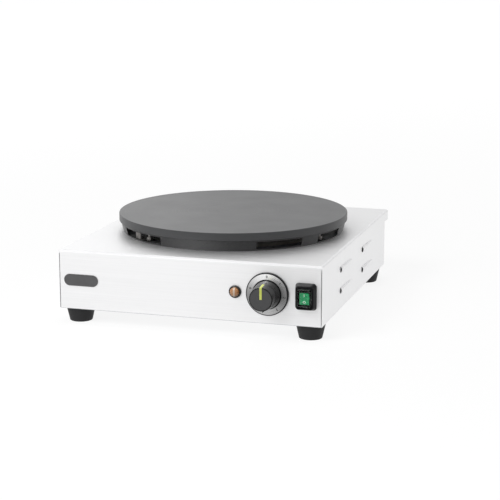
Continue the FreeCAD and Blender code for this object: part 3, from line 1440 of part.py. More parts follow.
def mains_inlet():
    """Cable gland in the rear panel, its lock nut, the terminal block and the earth stud."""
    spot = (S.gland_x, REAR_WALL + T, BASE + S.gland_z, Rotation(Vector(1, 0, 0), -90))
    gland = new_body("cable_gland_blank")
    place(gland, *spot)
    thread = S.gland_thread
    prism(gland, thread, GLAND_THREAD_LENGTH, 16, -GLAND_THREAD_LENGTH)
    prism(gland, GLAND_FLATS / 2 / cosine(as_size(30)), GLAND_HEX, 6)
    prism(gland, GLAND_DOME_RADIUS, GLAND_DOME, 16)
    prism(gland, GLAND_NOSE_RADIUS, GLAND_REACH, 16)
    bore = new_sketch(gland, "XY_Plane", GLAND_REACH)
    circle(bore, 0, 0, S.gland_bore)
    pocket(gland, bore, GLAND_REACH * 4)
    keep(gland, "cable_gland")
    lock = nut("gland_nut_blank", thread + S.shaft_play, GLAND_FLATS, GLAND_NUT_HEIGHT)
    place(lock, S.gland_x, REAR_WALL - T - GLAND_NUT_HEIGHT, BASE + S.gland_z,
          Rotation(Vector(1, 0, 0), -90))
    keep(lock, "gland_nut")

    block = new_body("terminal_block_blank")
    place(block, BLOCK_X, BLOCK_Y, SHELL_BOTTOM)
    foot = new_sketch(block, "XY_Plane")
    half_x, half_y = WAY_PITCH * WAY_COUNT / 2, BLOCK_WIDTH / 2
    rectangle(foot, -half_x, half_x, -half_y, half_y)
    pad(block, foot, BLOCK_HEIGHT)
    gap = new_sketch(block, "XZ_Plane")
    first = WAY_PITCH - half_x
    rectangle(gap, first - T, first + T, BLOCK_HEIGHT / 2, BLOCK_HEIGHT * 2)
    groove = pocket(block, gap, BLOCK_WIDTH * 3)
    row_of(block, [groove], "X_Axis", WAY_PITCH * (WAY_COUNT - 2), WAY_COUNT - 1)
    holes = new_sketch(block, "XY_Plane", BLOCK_HEIGHT)
    ways = [WAY_PITCH * (number - (WAY_COUNT - 1) / 2) for number in range(WAY_COUNT)]
    for way in ways:
        flats_round(holes, way, 0, WAY_HOLE)
    pocket(block, holes, WAY_DEPTH, "One side")
    keep(block, "terminal_block")
    length = 4
    bolt = screw("terminal_screw_blank", WAY_SCREW, length, WAY_SCREW_HEAD, 1.5)
    seat = SHELL_BOTTOM + BLOCK_HEIGHT - WAY_DEPTH + length + WAY_SCREW_SHY
    copies(bolt, "terminal_screws", [(BLOCK_X + way, BLOCK_Y, seat) for way in ways])

    stud = screw("earth_stud_blank", EARTH_RADIUS, EARTH_LENGTH, EARTH_HEAD, 2.6)
    upwards = Rotation(Vector(1, 0, 0), 180)
    place(stud, EARTH_X, EARTH_Y, BASE, upwards)
    keep(stud, "earth_stud")
    hex_nut = nut("earth_nut_blank", EARTH_RADIUS + S.shaft_play, SMALL_NUT_FLATS,
                  BRACKET_NUT_HEIGHT)
    second = SHELL_BOTTOM + BRACKET_NUT_HEIGHT + T / 2
    copies(hex_nut, "earth_nuts", [(EARTH_X, EARTH_Y, z) for z in (SHELL_BOTTOM, second)])


def safety_cut_out():
    """Over-temperature cut-out, screwed under the heat pan."""
    spot = (0, AXIS_Y + CUT_OUT_Y, PAN_FLOOR)
    body = new_body("cut_out_blank")
    place(body, *spot)
    prism(body, CUT_OUT_RADIUS, CUT_OUT_CAP, 16, -CUT_OUT_CAP)
    prism(body, CUT_OUT_NECK, CUT_OUT_DEPTH, 16, -CUT_OUT_DEPTH)
    keep(body, "safety_cut_out")


body_shell()
base_plate()
rear_panel()
feet()
panel_screws()
griddle_plate()
heating_unit()
supports()
skirt_ring()
temperature_sensor()
name_badge()
indicator_lamp()
dial()
knob()
thermostat()
power_switch()
mains_inlet()
safety_cut_out()


def check_and_write():
    """Stop if anything failed, and write one file for each node."""
    doc.recompute()
    for item in doc.Objects:
        if "Invalid" in item.State or "Error" in item.State:
            raise RuntimeError("%s is in state %s" % (item.Name, item.State))
    os.makedirs("parts", exist_ok=True)
    for piece in nodes:
        shape = piece.Shape
        if shape.isNull() or not shape.isValid() or not shape.Solids:
            raise RuntimeError("%s has no valid shape" % piece.Label)
        shape.exportStep(os.path.join("parts", piece.Label + ".step"))
        print("%-26s solids %2d  volume %12.1f" % (piece.Label, len(shape.Solids), shape.Volume))


check_and_write()
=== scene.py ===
import bpy
import bmesh
import math
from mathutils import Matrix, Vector


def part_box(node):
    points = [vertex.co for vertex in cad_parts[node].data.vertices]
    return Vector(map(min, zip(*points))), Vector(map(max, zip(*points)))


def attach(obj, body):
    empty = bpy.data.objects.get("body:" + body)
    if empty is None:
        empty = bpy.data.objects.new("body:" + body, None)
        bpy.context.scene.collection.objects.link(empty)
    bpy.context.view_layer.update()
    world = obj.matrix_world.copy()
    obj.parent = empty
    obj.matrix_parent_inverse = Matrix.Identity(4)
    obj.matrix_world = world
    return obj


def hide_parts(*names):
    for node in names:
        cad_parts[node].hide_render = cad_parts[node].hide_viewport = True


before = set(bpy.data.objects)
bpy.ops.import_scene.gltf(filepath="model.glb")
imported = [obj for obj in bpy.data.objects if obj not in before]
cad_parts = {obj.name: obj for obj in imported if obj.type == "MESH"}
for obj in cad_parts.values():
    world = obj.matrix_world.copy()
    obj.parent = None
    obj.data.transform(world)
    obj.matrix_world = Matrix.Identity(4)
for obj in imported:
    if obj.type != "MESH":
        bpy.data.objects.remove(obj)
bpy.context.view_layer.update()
bpy.context.scene.view_settings.view_transform = "Standard"

# The view: a long lens stands low in front of the machine and a little to its right,
# so that the front, the right side and the top of the griddle all show.
VIEW_PLACE = (0.80141, -2.5424, 0.6766)
VIEW_DOWN = 0.2169
VIEW_LEFT = 0.2922
LENS_MM = 111.96
SENSOR_MM = 36.0

bpy.ops.object.select_all(action="DESELECT")
bpy.ops.object.camera_add(location=VIEW_PLACE, rotation=(math.pi / 2 - VIEW_DOWN, 0, VIEW_LEFT))
camera = bpy.context.object
camera.data.lens = LENS_MM
camera.data.sensor_width = SENSOR_MM
bpy.context.scene.camera = camera

# The studio: a wide pale floor, a soft box high up in front and weaker ones behind and beside.
# A card that only reflections see gives the right end of the steel front its grey.
FLOOR_WIDTH = 30.0
FLOOR_COLOUR = (0.2, 0.2, 0.2, 1)
FLOOR_GLOW = (0.84, 0.92)
FLOOR_GLOW_REACH = (0.6, 4.0)
SKY_ON_SURFACES = 0.42
SKY_LEFT_TO_RIGHT = (0.86, 0.74)
SKY_TURNS_GREY = (-0.45, 0.25)
CARD_PLACE = (1.06, -1.30, 0.002)
CARD_SIZE = (2.0, 1.9, 1)
CARD_GLOW = 0.56


def feed(tree, value, socket):
    """Give a socket a plain value, or join it to what another node gives."""
    if isinstance(value, bpy.types.NodeSocket):
        tree.links.new(value, socket)
    else:
        socket.default_value = value


def calculate(tree, operation, *values):
    """One step of arithmetic on plain numbers and on what other nodes give."""
    step = tree.nodes.new("ShaderNodeMath")
    step.operation = operation
    for value, socket in zip(values, step.inputs):
        feed(tree, value, socket)
    return step.outputs["Value"]


def on_vector(tree, operation, vector):
    """One step on a vector, which gives its length or another vector."""
    step = tree.nodes.new("ShaderNodeVectorMath")
    step.operation = operation
    tree.links.new(vector, step.inputs[0])
    return step.outputs["Value" if operation == "LENGTH" else "Vector"]


def parts_of(tree, vector):
    """The X, Y and Z of a vector."""
    step = tree.nodes.new("ShaderNodeSeparateXYZ")
    tree.links.new(vector, step.inputs["Vector"])
    return step.outputs


def run_between(tree, value, start, end, first, last):
    """A number that goes from the first to the last as a value goes from start to end."""
    step = tree.nodes.new("ShaderNodeMapRange")
    step.inputs["From Min"].default_value = start
    step.inputs["From Max"].default_value = end
    step.inputs["To Min"].default_value = first
    step.inputs["To Max"].default_value = last
    tree.links.new(value, step.inputs["Value"])
    return step.outputs["Result"]


def mix(tree, factor, first, second, kind="FLOAT"):
    """Go from the first number or colour to the second as a factor goes from 0 to 1."""
    step = tree.nodes.new("ShaderNodeMix")
    step.data_type = kind
    start, end, result = (2, 3, 0) if kind == "FLOAT" else (6, 7, 2)
    tree.links.new(factor, step.inputs["Factor"])
    feed(tree, first, step.inputs[start])
    feed(tree, second, step.inputs[end])
    return step.outputs[result]


def given(tree, kind, name):
    """What a node without inputs gives under a name."""
    return tree.nodes.new("ShaderNode" + kind).outputs[name]


def not_a_surface(tree):
    """One for what the eye, a mirror or glass looks at, and nothing for what light falls on."""
    total = given(tree, "LightPath", "Is Camera Ray")
    for name in ("Is Glossy Ray", "Is Transmission Ray"):
        total = calculate(tree, "MAXIMUM", total, given(tree, "LightPath", name))
    return total


def sockets(finish):
    """What the one shader of a surface takes in."""
    return finish.node_tree.nodes["Principled BSDF"].inputs


def glowing_paper(name, colour):
    """A dead matt surface that can glow, for what isn't part of the machine."""
    paint = bpy.data.materials.new(name)
    paint.use_nodes = True
    sockets(paint)["Base Color"].default_value = colour
    sockets(paint)["Roughness"].default_value = 0.9
    sockets(paint)["Specular IOR Level"].default_value = 0.0
    sockets(paint)["Emission Color"].default_value = (1, 1, 1, 1)
    return paint


def lay_floor():
    """A plain sheet that shows white to the eye and keeps the machine's soft shadow."""
    bpy.ops.mesh.primitive_plane_add(size=FLOOR_WIDTH, location=(0, 0, 0))
    floor = bpy.context.object
    floor.name = "floor"
    paint = glowing_paper("floor_paper", FLOOR_COLOUR)
    tree = paint.node_tree
    reach = on_vector(tree, "LENGTH", given(tree, "TexCoord", "Object"))
    glow = run_between(tree, reach, *FLOOR_GLOW_REACH, *FLOOR_GLOW)
    lift = calculate(tree, "MULTIPLY", not_a_surface(tree), glow)
    tree.links.new(lift, sockets(paint)["Emission Strength"])
    floor.data.materials.append(paint)


def light_sky():
    """White to the eye, white to grey from left to right in mirrors, and a soft light."""
    sky = bpy.data.worlds.new("sky")
    bpy.context.scene.world = sky
    sky.use_nodes = True
    tree = sky.node_tree
    sideways = parts_of(tree, given(tree, "TexCoord", "Generated"))["X"]
    mirrored = run_between(tree, sideways, *SKY_TURNS_GREY, *SKY_LEFT_TO_RIGHT)
    looked_at = calculate(tree, "MAXIMUM", given(tree, "LightPath", "Is Camera Ray"), mirrored)
    background = tree.nodes["Background"]
    background.inputs["Color"].default_value = (1, 1, 1, 1)
    tree.links.new(mix(tree, not_a_surface(tree), SKY_ON_SURFACES, looked_at),
                   background.inputs["Strength"])


def hang_soft_box(name, place, target, width, power):
    """A square lamp at a place, aimed at a target, of so many watts."""
    bpy.ops.object.light_add(type="AREA", location=place)
    box = bpy.context.object
    box.name = name
    box.data.shape = "SQUARE"
    box.data.size = width
    box.data.energy = power
    aim = Vector(target) - Vector(place)
    box.rotation_euler = aim.to_track_quat("-Z", "Y").to_euler()


def lay_card():
    """A card just over the floor, hidden from the eye, that the steel mirrors."""
    bpy.ops.mesh.primitive_plane_add(size=1, location=CARD_PLACE)
    card = bpy.context.object
    card.name = "front_card"
    card.scale = CARD_SIZE
    paint = glowing_paper("front_card_grey", (0, 0, 0, 1))
    sockets(paint)["Emission Strength"].default_value = CARD_GLOW
    card.data.materials.append(paint)
    card.visible_camera = False
    card.visible_shadow = False
    card.visible_diffuse = False
    card.visible_transmission = False


lay_floor()
light_sky()
hang_soft_box("key_box", (-1.2, -2.3, 2.2), (0, 0, 0.08), 1.6, 54)
hang_soft_box("side_box", (2.2, 0.7, 1.3), (0, 0, 0.1), 1.0, 5)
hang_soft_box("back_box", (-1.7, 2.4, 1.6), (0, 0, 0.1), 1.8, 6)
lay_card()

# The housing: deck, front, sides and rear lip, folded from one brushed stainless sheet, with
# four louvres pressed out of each side and open seams where the folded edges meet.
SHEET = 0.001
BEND = 0.004
FLANGE = 0.014
LIP_GAP = 0.0003
SEAM = 0.001
HOOD_STARTS = (-0.1075, 0.0535)
HOOD_LEVELS = (0.093, 0.057)
HOOD_LENGTH = 0.083
HOOD_HALF_HEIGHT = 0.0055
HOOD_SHEET = 0.0009
PAN_HOLE = 0.1693
LAMP_HOLE = 0.007
DIAL_HOLE = 0.0055
DIAL_SCREW_HOLE = 0.0022
DIAL_SCREW_REACH = 0.014
SWITCH_PLAY = 0.0002
CUT_REACH = 0.004
NOISE_MIDDLE = (0.3, 0.7)


def clear_bench():
    """Leave edit mode and leave nothing selected."""
    if bpy.context.mode != "OBJECT":
        bpy.ops.object.mode_set(mode="OBJECT")
    bpy.ops.object.select_all(action="DESELECT")


def box_between(name, low, high):
    """A block from its lowest to its highest corner, its place kept in its mesh."""
    clear_bench()
    middle = [(a + b) / 2 for a, b in zip(low, high)]
    size = [b - a for a, b in zip(low, high)]
    bpy.ops.mesh.primitive_cube_add(size=1, location=middle)
    block = bpy.context.object
    block.scale = size
    block.name = name
    bpy.ops.object.transform_apply()
    return block


def work_on(piece, mode="EDIT"):
    """Make one piece the only selected one and go into a mode."""
    clear_bench()
    piece.select_set(True)
    bpy.context.view_layer.objects.active = piece
    bpy.ops.object.mode_set(mode=mode)


def pick(piece, kind, test):
    """Select, in edit mode, each face or edge that passes a test of its middle and itself."""
    bpy.ops.mesh.select_mode(type=kind)
    bpy.ops.mesh.select_all(action="DESELECT")
    net = bmesh.from_edit_mesh(piece.data)
    if kind == "FACE":
        for face in net.faces:
            face.select_set(test(face.calc_center_median(), face.normal))
    else:
        for edge in net.edges:
            start, end = edge.verts
            edge.select_set(test((start.co + end.co) / 2, end.co - start.co))
    bmesh.update_edit_mesh(piece.data)


def pull_out(*move):
    """Extrude what is selected in edit mode and move it."""
    bpy.ops.mesh.extrude_region_move(TRANSFORM_OT_translate={"value": move})


def apply_step(piece, kind, **settings):
    """Put a modifier with these settings on a piece and make it part of the mesh."""
    work_on(piece, "OBJECT")
    bpy.ops.object.modifier_add(type=kind)
    step = piece.modifiers[-1]
    for name, value in settings.items():
        setattr(step, name, value)
    bpy.ops.object.modifier_apply(modifier=step.name)


def finish_edges(piece, angle=30.0):
    """Leave edit mode, shade the bends smooth and keep the sharp edges sharp."""
    work_on(piece, "OBJECT")
    bpy.ops.object.shade_smooth_by_angle(angle=math.radians(angle))
    apply_step(piece, "WEIGHTED_NORMAL", keep_sharp=True)


def cut_or_join(piece, tool, operation):
    """Boolean the tool into the piece and remove the tool."""
    apply_step(piece, "BOOLEAN", operation=operation, solver="EXACT", object=tool)
    bpy.data.objects.remove(tool, do_unlink=True)


def join_all(pieces):
    """Join pieces into the first one and return it."""
    work_on(pieces[0], "OBJECT")
    for piece in pieces:
        piece.select_set(True)
    bpy.ops.object.join()
    return bpy.context.object


def round_bar(name, radius, low, high, place=(0, 0, 0), facing=(0, 0, 0), sides=48):
    """A cylinder between two heights on its own axis, then set at a place."""
    clear_bench()
    bpy.ops.mesh.primitive_cylinder_add(vertices=sides, radius=radius, depth=high - low,
                                        location=(0, 0, (high + low) / 2))
    bar = bpy.context.object
    bar.name = name
    bpy.ops.object.transform_apply()
    return set_at(bar, place, facing)


def set_at(piece, place, facing=(0, 0, 0)):
    """Turn a piece that was made about the origin, move it, and keep both in its mesh."""
    work_on(piece, "OBJECT")
    piece.rotation_euler = facing
    piece.location = place
    bpy.ops.object.transform_apply()
    return piece


def middle_of(node):
    """The middle of a CAD piece's box, along X, Y and Z."""
    return [(low + high) / 2 for low, high in zip(*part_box(node))]


def half_size(node):
    """Half the size of a CAD piece's box, along X, Y and Z."""
    return [(high - low) / 2 for low, high in zip(*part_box(node))]


TO_THE_USER = (math.pi / 2, 0, 0)

shell_low, shell_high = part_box("body_shell")
panel_low, panel_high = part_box("rear_panel")
half_width = panel_high.x + SHEET
front_y = shell_low.y
rear_y = shell_high.y
deck_z = shell_high.z
lip_z = panel_high.z + LIP_GAP
axis_y = middle_of("griddle_plate")[1]
dial_x, _, controls_z = middle_of("dial_base")
lamp_x = middle_of("lamp_bezel")[0]
switch_x = middle_of("switch_frame")[0]


def open_face(shell, test):
    """Leave a return flange round the edge of one face and open the rest of it."""
    pick(shell, "FACE", test)
    bpy.ops.mesh.inset(thickness=FLANGE)
    bpy.ops.mesh.delete(type="FACE")


def fold_shell():
    """The open box with its rear lip, its flanges and its rounded deck edges."""
    shell = box_between("body_shell_folded", (-half_width, front_y, shell_low.z),
                        (half_width, panel_low.y, deck_z))
    work_on(shell)
    bpy.ops.mesh.select_all(action="SELECT")
    bpy.ops.mesh.bisect(plane_co=(0, 0, lip_z), plane_no=(0, 0, 1))
    pick(shell, "FACE", lambda spot, out: out.y > 0.9 and spot.z > lip_z)
    pull_out(0, rear_y - panel_low.y, 0)
    bpy.ops.mesh.select_all(action="SELECT")
    bpy.ops.mesh.dissolve_limited(angle_limit=math.radians(1))
    open_face(shell, lambda spot, out: out.z < -0.9 and spot.z < shell_low.z + SHEET)
    open_face(shell, lambda spot, out: out.y > 0.9 and spot.y < panel_low.y + SHEET)
    pick(shell, "EDGE", lambda spot, along: spot.z > deck_z - SHEET)
    bpy.ops.mesh.bevel(offset=BEND, segments=6, affect="EDGES")
    apply_step(shell, "SOLIDIFY", thickness=SHEET, offset=-1, use_even_offset=True)
    return shell


def half_ellipsoid(name, side, start, level, shrink):
    """A long rounded bump, made whole on one side wall; the caller keeps its rear half."""
    clear_bench()
    bpy.ops.mesh.primitive_uv_sphere_add(segments=48, ring_count=40, radius=1,
                                         rotation=(math.pi / 2, 0, 0))
    bump = bpy.context.object
    bump.name = name
    bpy.ops.object.transform_apply()
    proud = (shell_high.x if side > 0 else -shell_low.x) - half_width
    bump.scale = (proud - shrink, HOOD_LENGTH - shrink * 4, HOOD_HALF_HEIGHT - shrink)
    return set_at(bump, (side * half_width, start, level))


def keep_half(bump, place, direction):
    """Cut a bump by a plane and keep the half on the side that the direction points to."""
    work_on(bump)
    bpy.ops.mesh.select_all(action="SELECT")
    bpy.ops.mesh.bisect(plane_co=place, plane_no=direction, use_fill=True, clear_inner=True)


def press_louvres(shell):
    """Push the hoods out of both sides, then open each one towards the front."""
    hoods = []
    mouths = []
    for side in (-1, 1):
        for start in HOOD_STARTS:
            for level in HOOD_LEVELS:
                hood = half_ellipsoid("hood", side, start, level, 0)
                keep_half(hood, (0, start, 0), (0, 1, 0))
                keep_half(hood, (side * (half_width - SHEET / 2), 0, 0), (side, 0, 0))
                hoods.append(hood)
                mouth = half_ellipsoid("mouth", side, start, level, HOOD_SHEET)
                keep_half(mouth, (0, start - HOOD_SHEET / 3, 0), (0, 1, 0))
                mouths.append(mouth)
    cut_or_join(shell, join_all(hoods), "UNION")
    cut_or_join(shell, join_all(mouths), "DIFFERENCE")


def cut_openings(shell):
    """The corner seams, the holes behind the controls and the round hole in the deck."""
    tools = []
    for side in (-1, 1):
        near_edge, far_edge = sorted((side * (half_width - SHEET),
                                      side * (half_width - SHEET - SEAM)))
        tools.append(box_between("seam_cut", (near_edge, front_y - SHEET, shell_low.z - SHEET),
                                 (far_edge, front_y + SHEET * 3, deck_z - BEND * 1.5)))
    holes = ((lamp_x, LAMP_HOLE), (dial_x, DIAL_HOLE), (dial_x - DIAL_SCREW_REACH, DIAL_SCREW_HOLE),
             (dial_x + DIAL_SCREW_REACH, DIAL_SCREW_HOLE))
    for x, radius in holes:
        tools.append(round_bar("panel_cut", radius, -CUT_REACH, CUT_REACH, (x, front_y, controls_z),
                               TO_THE_USER))
    low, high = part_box("switch_body")
    tools.append(box_between(
        "switch_cut", (low.x - SWITCH_PLAY, front_y - CUT_REACH, low.z - SWITCH_PLAY),
        (high.x + SWITCH_PLAY, front_y + CUT_REACH, high.z + SWITCH_PLAY)))
    tools.append(round_bar("deck_cut", PAN_HOLE, -CUT_REACH, CUT_REACH, (0, axis_y, deck_z),
                           sides=192))
    cut_or_join(shell, join_all(tools), "DIFFERENCE")


def new_finish(name, colour, roughness, metal=0.0):
    """A surface with one principled shader. The patterns on it are added piece by piece."""
    finish = bpy.data.materials.new(name)
    finish.use_nodes = True
    sockets(finish)["Base Color"].default_value = (*colour, 1)
    sockets(finish)["Roughness"].default_value = roughness
    sockets(finish)["Metallic"].default_value = metal
    return finish


def own_place(tree, offset=(0, 0, 0), stretch=(1, 1, 1)):
    """The place on the piece itself, stretched along X, Y and Z and then moved."""
    mapping = tree.nodes.new("ShaderNodeMapping")
    mapping.inputs["Location"].default_value = offset
    mapping.inputs["Scale"].default_value = stretch
    tree.links.new(given(tree, "TexCoord", "Object"), mapping.inputs["Vector"])
    return mapping.outputs["Vector"]


def noise_on(finish, cells, detail=3.0):
    """A noise on the piece's own place, with so many cells to the metre along X, Y and Z."""
    tree = finish.node_tree
    noise = tree.nodes.new("ShaderNodeTexNoise")
    noise.inputs["Scale"].default_value = 1.0
    noise.inputs["Detail"].default_value = detail
    tree.links.new(own_place(tree, stretch=cells), noise.inputs["Vector"])
    return noise.outputs[0]


def vary_roughness(finish, pattern, low, high):
    """Run the roughness from one number to another over the middle of a noise's range."""
    tree = finish.node_tree
    roughness = run_between(tree, pattern, *NOISE_MIDDLE, low, high)
    tree.links.new(roughness, sockets(finish)["Roughness"])


def vary_colour(finish, pattern, dark, pale):
    """Run the colour between two shades of the same finish by a pattern."""
    tree = finish.node_tree
    factor = run_between(tree, pattern, *NOISE_MIDDLE, 0.0, 1.0)
    shade = mix(tree, factor, (*dark, 1), (*pale, 1), "RGBA")
    tree.links.new(shade, sockets(finish)["Base Color"])


def emboss(finish, pattern, height):
    """Raise the pattern by a height in metres."""
    tree = finish.node_tree
    bump = tree.nodes.new("ShaderNodeBump")
    bump.inputs["Strength"].default_value = 1.0
    bump.inputs["Distance"].default_value = height
    tree.links.new(pattern, bump.inputs["Height"])
    tree.links.new(bump.outputs["Normal"], sockets(finish)["Normal"])


def either_way(finish, first, second):
    """One pattern on faces that look to the front or back, another on all the rest."""
    tree = finish.node_tree
    facing = parts_of(tree, given(tree, "NewGeometry", "True Normal"))["Y"]
    depth = calculate(tree, "ABSOLUTE", facing)
    return mix(tree, calculate(tree, "GREATER_THAN", depth, 0.7), second, first)


def duller_folds(finish, dull):
    """Bending opens the brushed grain, so the folds shine less than the flats."""
    tree = finish.node_tree
    roughness = sockets(finish)["Roughness"]
    facing = on_vector(tree, "ABSOLUTE", given(tree, "NewGeometry", "Normal"))
    x, y, z = parts_of(tree, facing)
    most = calculate(tree, "MAXIMUM", calculate(tree, "MAXIMUM", x, y), z)
    flat = run_between(tree, most, 0.95, 0.995, 0.0, 1.0)
    tree.links.new(mix(tree, flat, dull, roughness.links[0].from_socket), roughness)


def coat_all(finish, *names):
    """Give a finish to CAD pieces whose shape is right as it is."""
    for name in names:
        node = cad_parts[name]
        node.data.materials.clear()
        node.data.materials.append(finish)


def place_piece(piece, finish, slot, body, *stands_for):
    """Give a finished piece its finish, its body and the CAD pieces that it stands for."""
    piece.data.materials.clear()
    piece.data.materials.append(finish)
    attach(piece, body)
    if stands_for:
        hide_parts(*stands_for)


# The grain of the sheet runs across the deck and the front and down the sides.
STEEL_DARK = (0.865, 0.865, 0.87)
STEEL_PALE = (0.905, 0.905, 0.91)
GRAIN_LONG = 7
GRAIN_FINE = 1400
stainless = new_finish("brushed_stainless", STEEL_PALE, 0.52, 1.0)
grain = either_way(stainless, noise_on(stainless, (GRAIN_LONG, GRAIN_LONG, GRAIN_FINE)),
                   noise_on(stainless, (GRAIN_LONG, GRAIN_FINE, GRAIN_LONG)))
vary_colour(stainless, grain, STEEL_DARK, STEEL_PALE)
vary_roughness(stainless, grain, 0.46, 0.58)
duller_folds(stainless, 0.92)
emboss(stainless, grain, 0.0000025)

shell = fold_shell()
press_louvres(shell)
cut_openings(shell)
finish_edges(shell)
place_piece(shell, stainless, "stainless", "housing", "body_shell")
coat_all(stainless, "rear_panel")

# The feet: four tapered blocks of black rubber with a rounded lower edge. A recess below
# takes the head of the screw that holds each one.
FOOT_BASE = 0.0188
FOOT_TOP = 0.0245
FOOT_RECESS = 0.008
FOOT_SEAT = 0.012
FOOT_EDGE = 0.0013


def face_outwards():
    """Turn every face of the mesh in edit mode outwards."""
    bpy.ops.mesh.select_all(action="SELECT")
    bpy.ops.mesh.normals_make_consistent(inside=False)


def turned(name, profile, sides=96, ring=False):
    """A circle carried through each radius and height of a profile, about the origin.

    A ring's last circle is bridged to its first. Any other piece is closed by two caps."""
    clear_bench()
    radius, height = profile[0]
    bpy.ops.mesh.primitive_circle_add(vertices=sides, radius=radius, location=(0, 0, height),
                                      fill_type="NOTHING" if ring else "NGON")
    piece = bpy.context.object
    piece.name = name
    bpy.ops.object.transform_apply()
    bpy.ops.object.mode_set(mode="EDIT")
    bpy.ops.mesh.select_mode(type="VERT")
    bpy.ops.mesh.select_all(action="SELECT")
    for next_radius, next_height in profile[1:]:
        pull_out(0, 0, next_height - height)
        grow = next_radius / radius
        bpy.ops.transform.resize(value=(grow, grow, 1), center_override=(0, 0, next_height))
        radius, height = next_radius, next_height
    if ring:
        bpy.ops.mesh.select_all(action="DESELECT")
        bpy.ops.mesh.select_non_manifold()
        bpy.ops.mesh.bridge_edge_loops()
    face_outwards()
    bpy.ops.object.mode_set(mode="OBJECT")
    return piece


def soften(piece, width, segments=3, angle=35.0):
    """Round the edges that are sharper than an angle."""
    apply_step(piece, "BEVEL", width=width, segments=segments, limit_method="ANGLE",
               angle_limit=math.radians(angle))


def repeat_at(piece, places):
    """Copies of a piece that was made about the origin, one at each place, joined as one."""
    made = []
    for place in places:
        work_on(piece, "OBJECT")
        bpy.ops.object.duplicate(linked=False)
        made.append(set_at(bpy.context.object, place))
    name = piece.name
    bpy.data.objects.remove(piece, do_unlink=True)
    made[0].name = name
    return join_all(made)


def corner_places(low, high, inset, level):
    """Four places, inset from the corners of a box seen from above."""
    return [(x, y, level) for x in (low.x + inset, high.x - inset)
            for y in (low.y + inset, high.y - inset)]


def grained(name, dark, pale, rough, cells, height=0.0, metal=0.0, gloss=0.5, tall=1):
    """A finish whose colour, roughness and relief follow one noise of so many cells a metre.

    The cells are so many times as tall as they are wide."""
    finish = new_finish(name, pale, rough[1], metal)
    sockets(finish)["Specular IOR Level"].default_value = gloss
    pattern = noise_on(finish, (cells, cells, cells / tall))
    vary_colour(finish, pattern, dark, pale)
    vary_roughness(finish, pattern, *rough)
    if height:
        emboss(finish, pattern, height)
    return finish


feet_low, feet_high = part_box("feet")
foot = turned("feet_moulded", [(FOOT_RECESS, FOOT_SEAT), (FOOT_RECESS, 0), (FOOT_BASE, 0),
                               (FOOT_TOP, feet_high.z)])
soften(foot, FOOT_EDGE, 4, 50)
finish_edges(foot)
feet = repeat_at(foot, corner_places(feet_low, feet_high, FOOT_TOP, 0))
foot_rubber = grained("foot_rubber", (0.016, 0.016, 0.017), (0.030, 0.030, 0.031), (0.55, 0.75), 700,
                      0.00003, gloss=0.4)
place_piece(feet, foot_rubber, "foot_rubber", "housing", "feet")


# Screws with a low round head and a cross recess, of plain bright steel: in the feet, under the
# base plate and in the rear panel. Each size is the shank's radius, its length, the head's
# radius and its height.
FOOT_SCREW = (0.003, 0.0215, 0.006, 0.0035)
SHEET_SCREW = (0.002, 0.007, 0.0038, 0.0022)
DOWNWARDS = (math.pi, 0, 0)
TO_THE_REAR = (-math.pi / 2, 0, 0)


def pan_head(name, size, facing):
    """A screw along its own axis, its head's seat at the origin and its head facing a way."""
    shank, length, head, height = size
    bolt = turned(name, [(shank * 0.8, -length), (shank, -length + shank * 0.3), (shank, 0),
                         (head, 0), (head, height * 0.4), (head * 0.86, height * 0.78),
                         (head * 0.55, height * 0.96), (head * 0.2, height)], 32)
    for arm_x, arm_y in ((head * 0.6, head * 0.1), (head * 0.1, head * 0.6)):
        recess = box_between("recess", (-arm_x, -arm_y, height * 0.45), (arm_x, arm_y, height * 2))
        cut_or_join(bolt, recess, "DIFFERENCE")
    finish_edges(bolt)
    return set_at(bolt, (0, 0, 0), facing)


def put_screws(name, size, facing, places):
    """One screw at each place, in place of the CAD piece of that name."""
    screws = repeat_at(pan_head(name + "_panhead", size, facing), places)
    place_piece(screws, bright_steel, "fixing_steel", "housing", name)


bright_steel = grained("bright_steel", (0.50, 0.50, 0.51), (0.66, 0.66, 0.67), (0.28, 0.42), 900,
                       0.000006, 1.0)
head = SHEET_SCREW[2]
put_screws("foot_screws", FOOT_SCREW, DOWNWARDS,
           corner_places(feet_low, feet_high, FOOT_TOP, FOOT_SEAT))
low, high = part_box("rear_screws")
put_screws("rear_screws", SHEET_SCREW, TO_THE_REAR,
           [(x, panel_high.y, z) for x in (low.x + head, high.x - head)
            for z in (low.z + head, high.z - head)])
low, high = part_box("base_screws")
base_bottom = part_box("base_plate")[0].z
put_screws("base_screws", SHEET_SCREW, DOWNWARDS,
           [(x, y, base_bottom) for x in (low.x + head, high.x - head)
            for y in (low.y + head, axis_y, high.y - head)])
coat_all(bright_steel, "foot_nuts", "clip_screws", "dial_screws", "terminal_screws", "earth_nuts",
         "switch_tabs")

# The base plate closes the housing from below, and the pan under the griddle catches its heat.
# Both are zinc-coated sheet with a faint spangle. The brackets, studs and nuts
# that hold the griddle are a darker, duller steel.
zinc = grained("zinc_sheet", (0.46, 0.47, 0.48), (0.63, 0.64, 0.66), (0.34, 0.52), 120, 0.00001, 1.0)
coat_all(zinc, "base_plate", "heat_pan", "element_clamp", "sensor_clip")
darker_dull = grained("darker_dull_steel", (0.16, 0.15, 0.14), (0.30, 0.29, 0.28), (0.42, 0.60), 260,
                      0.00001, 0.9)
coat_all(darker_dull, "plate_brackets", "hold_down_studs", "hold_down_nuts", "bracket_screws",
         "bracket_nuts", "clamp_studs", "clamp_nuts")

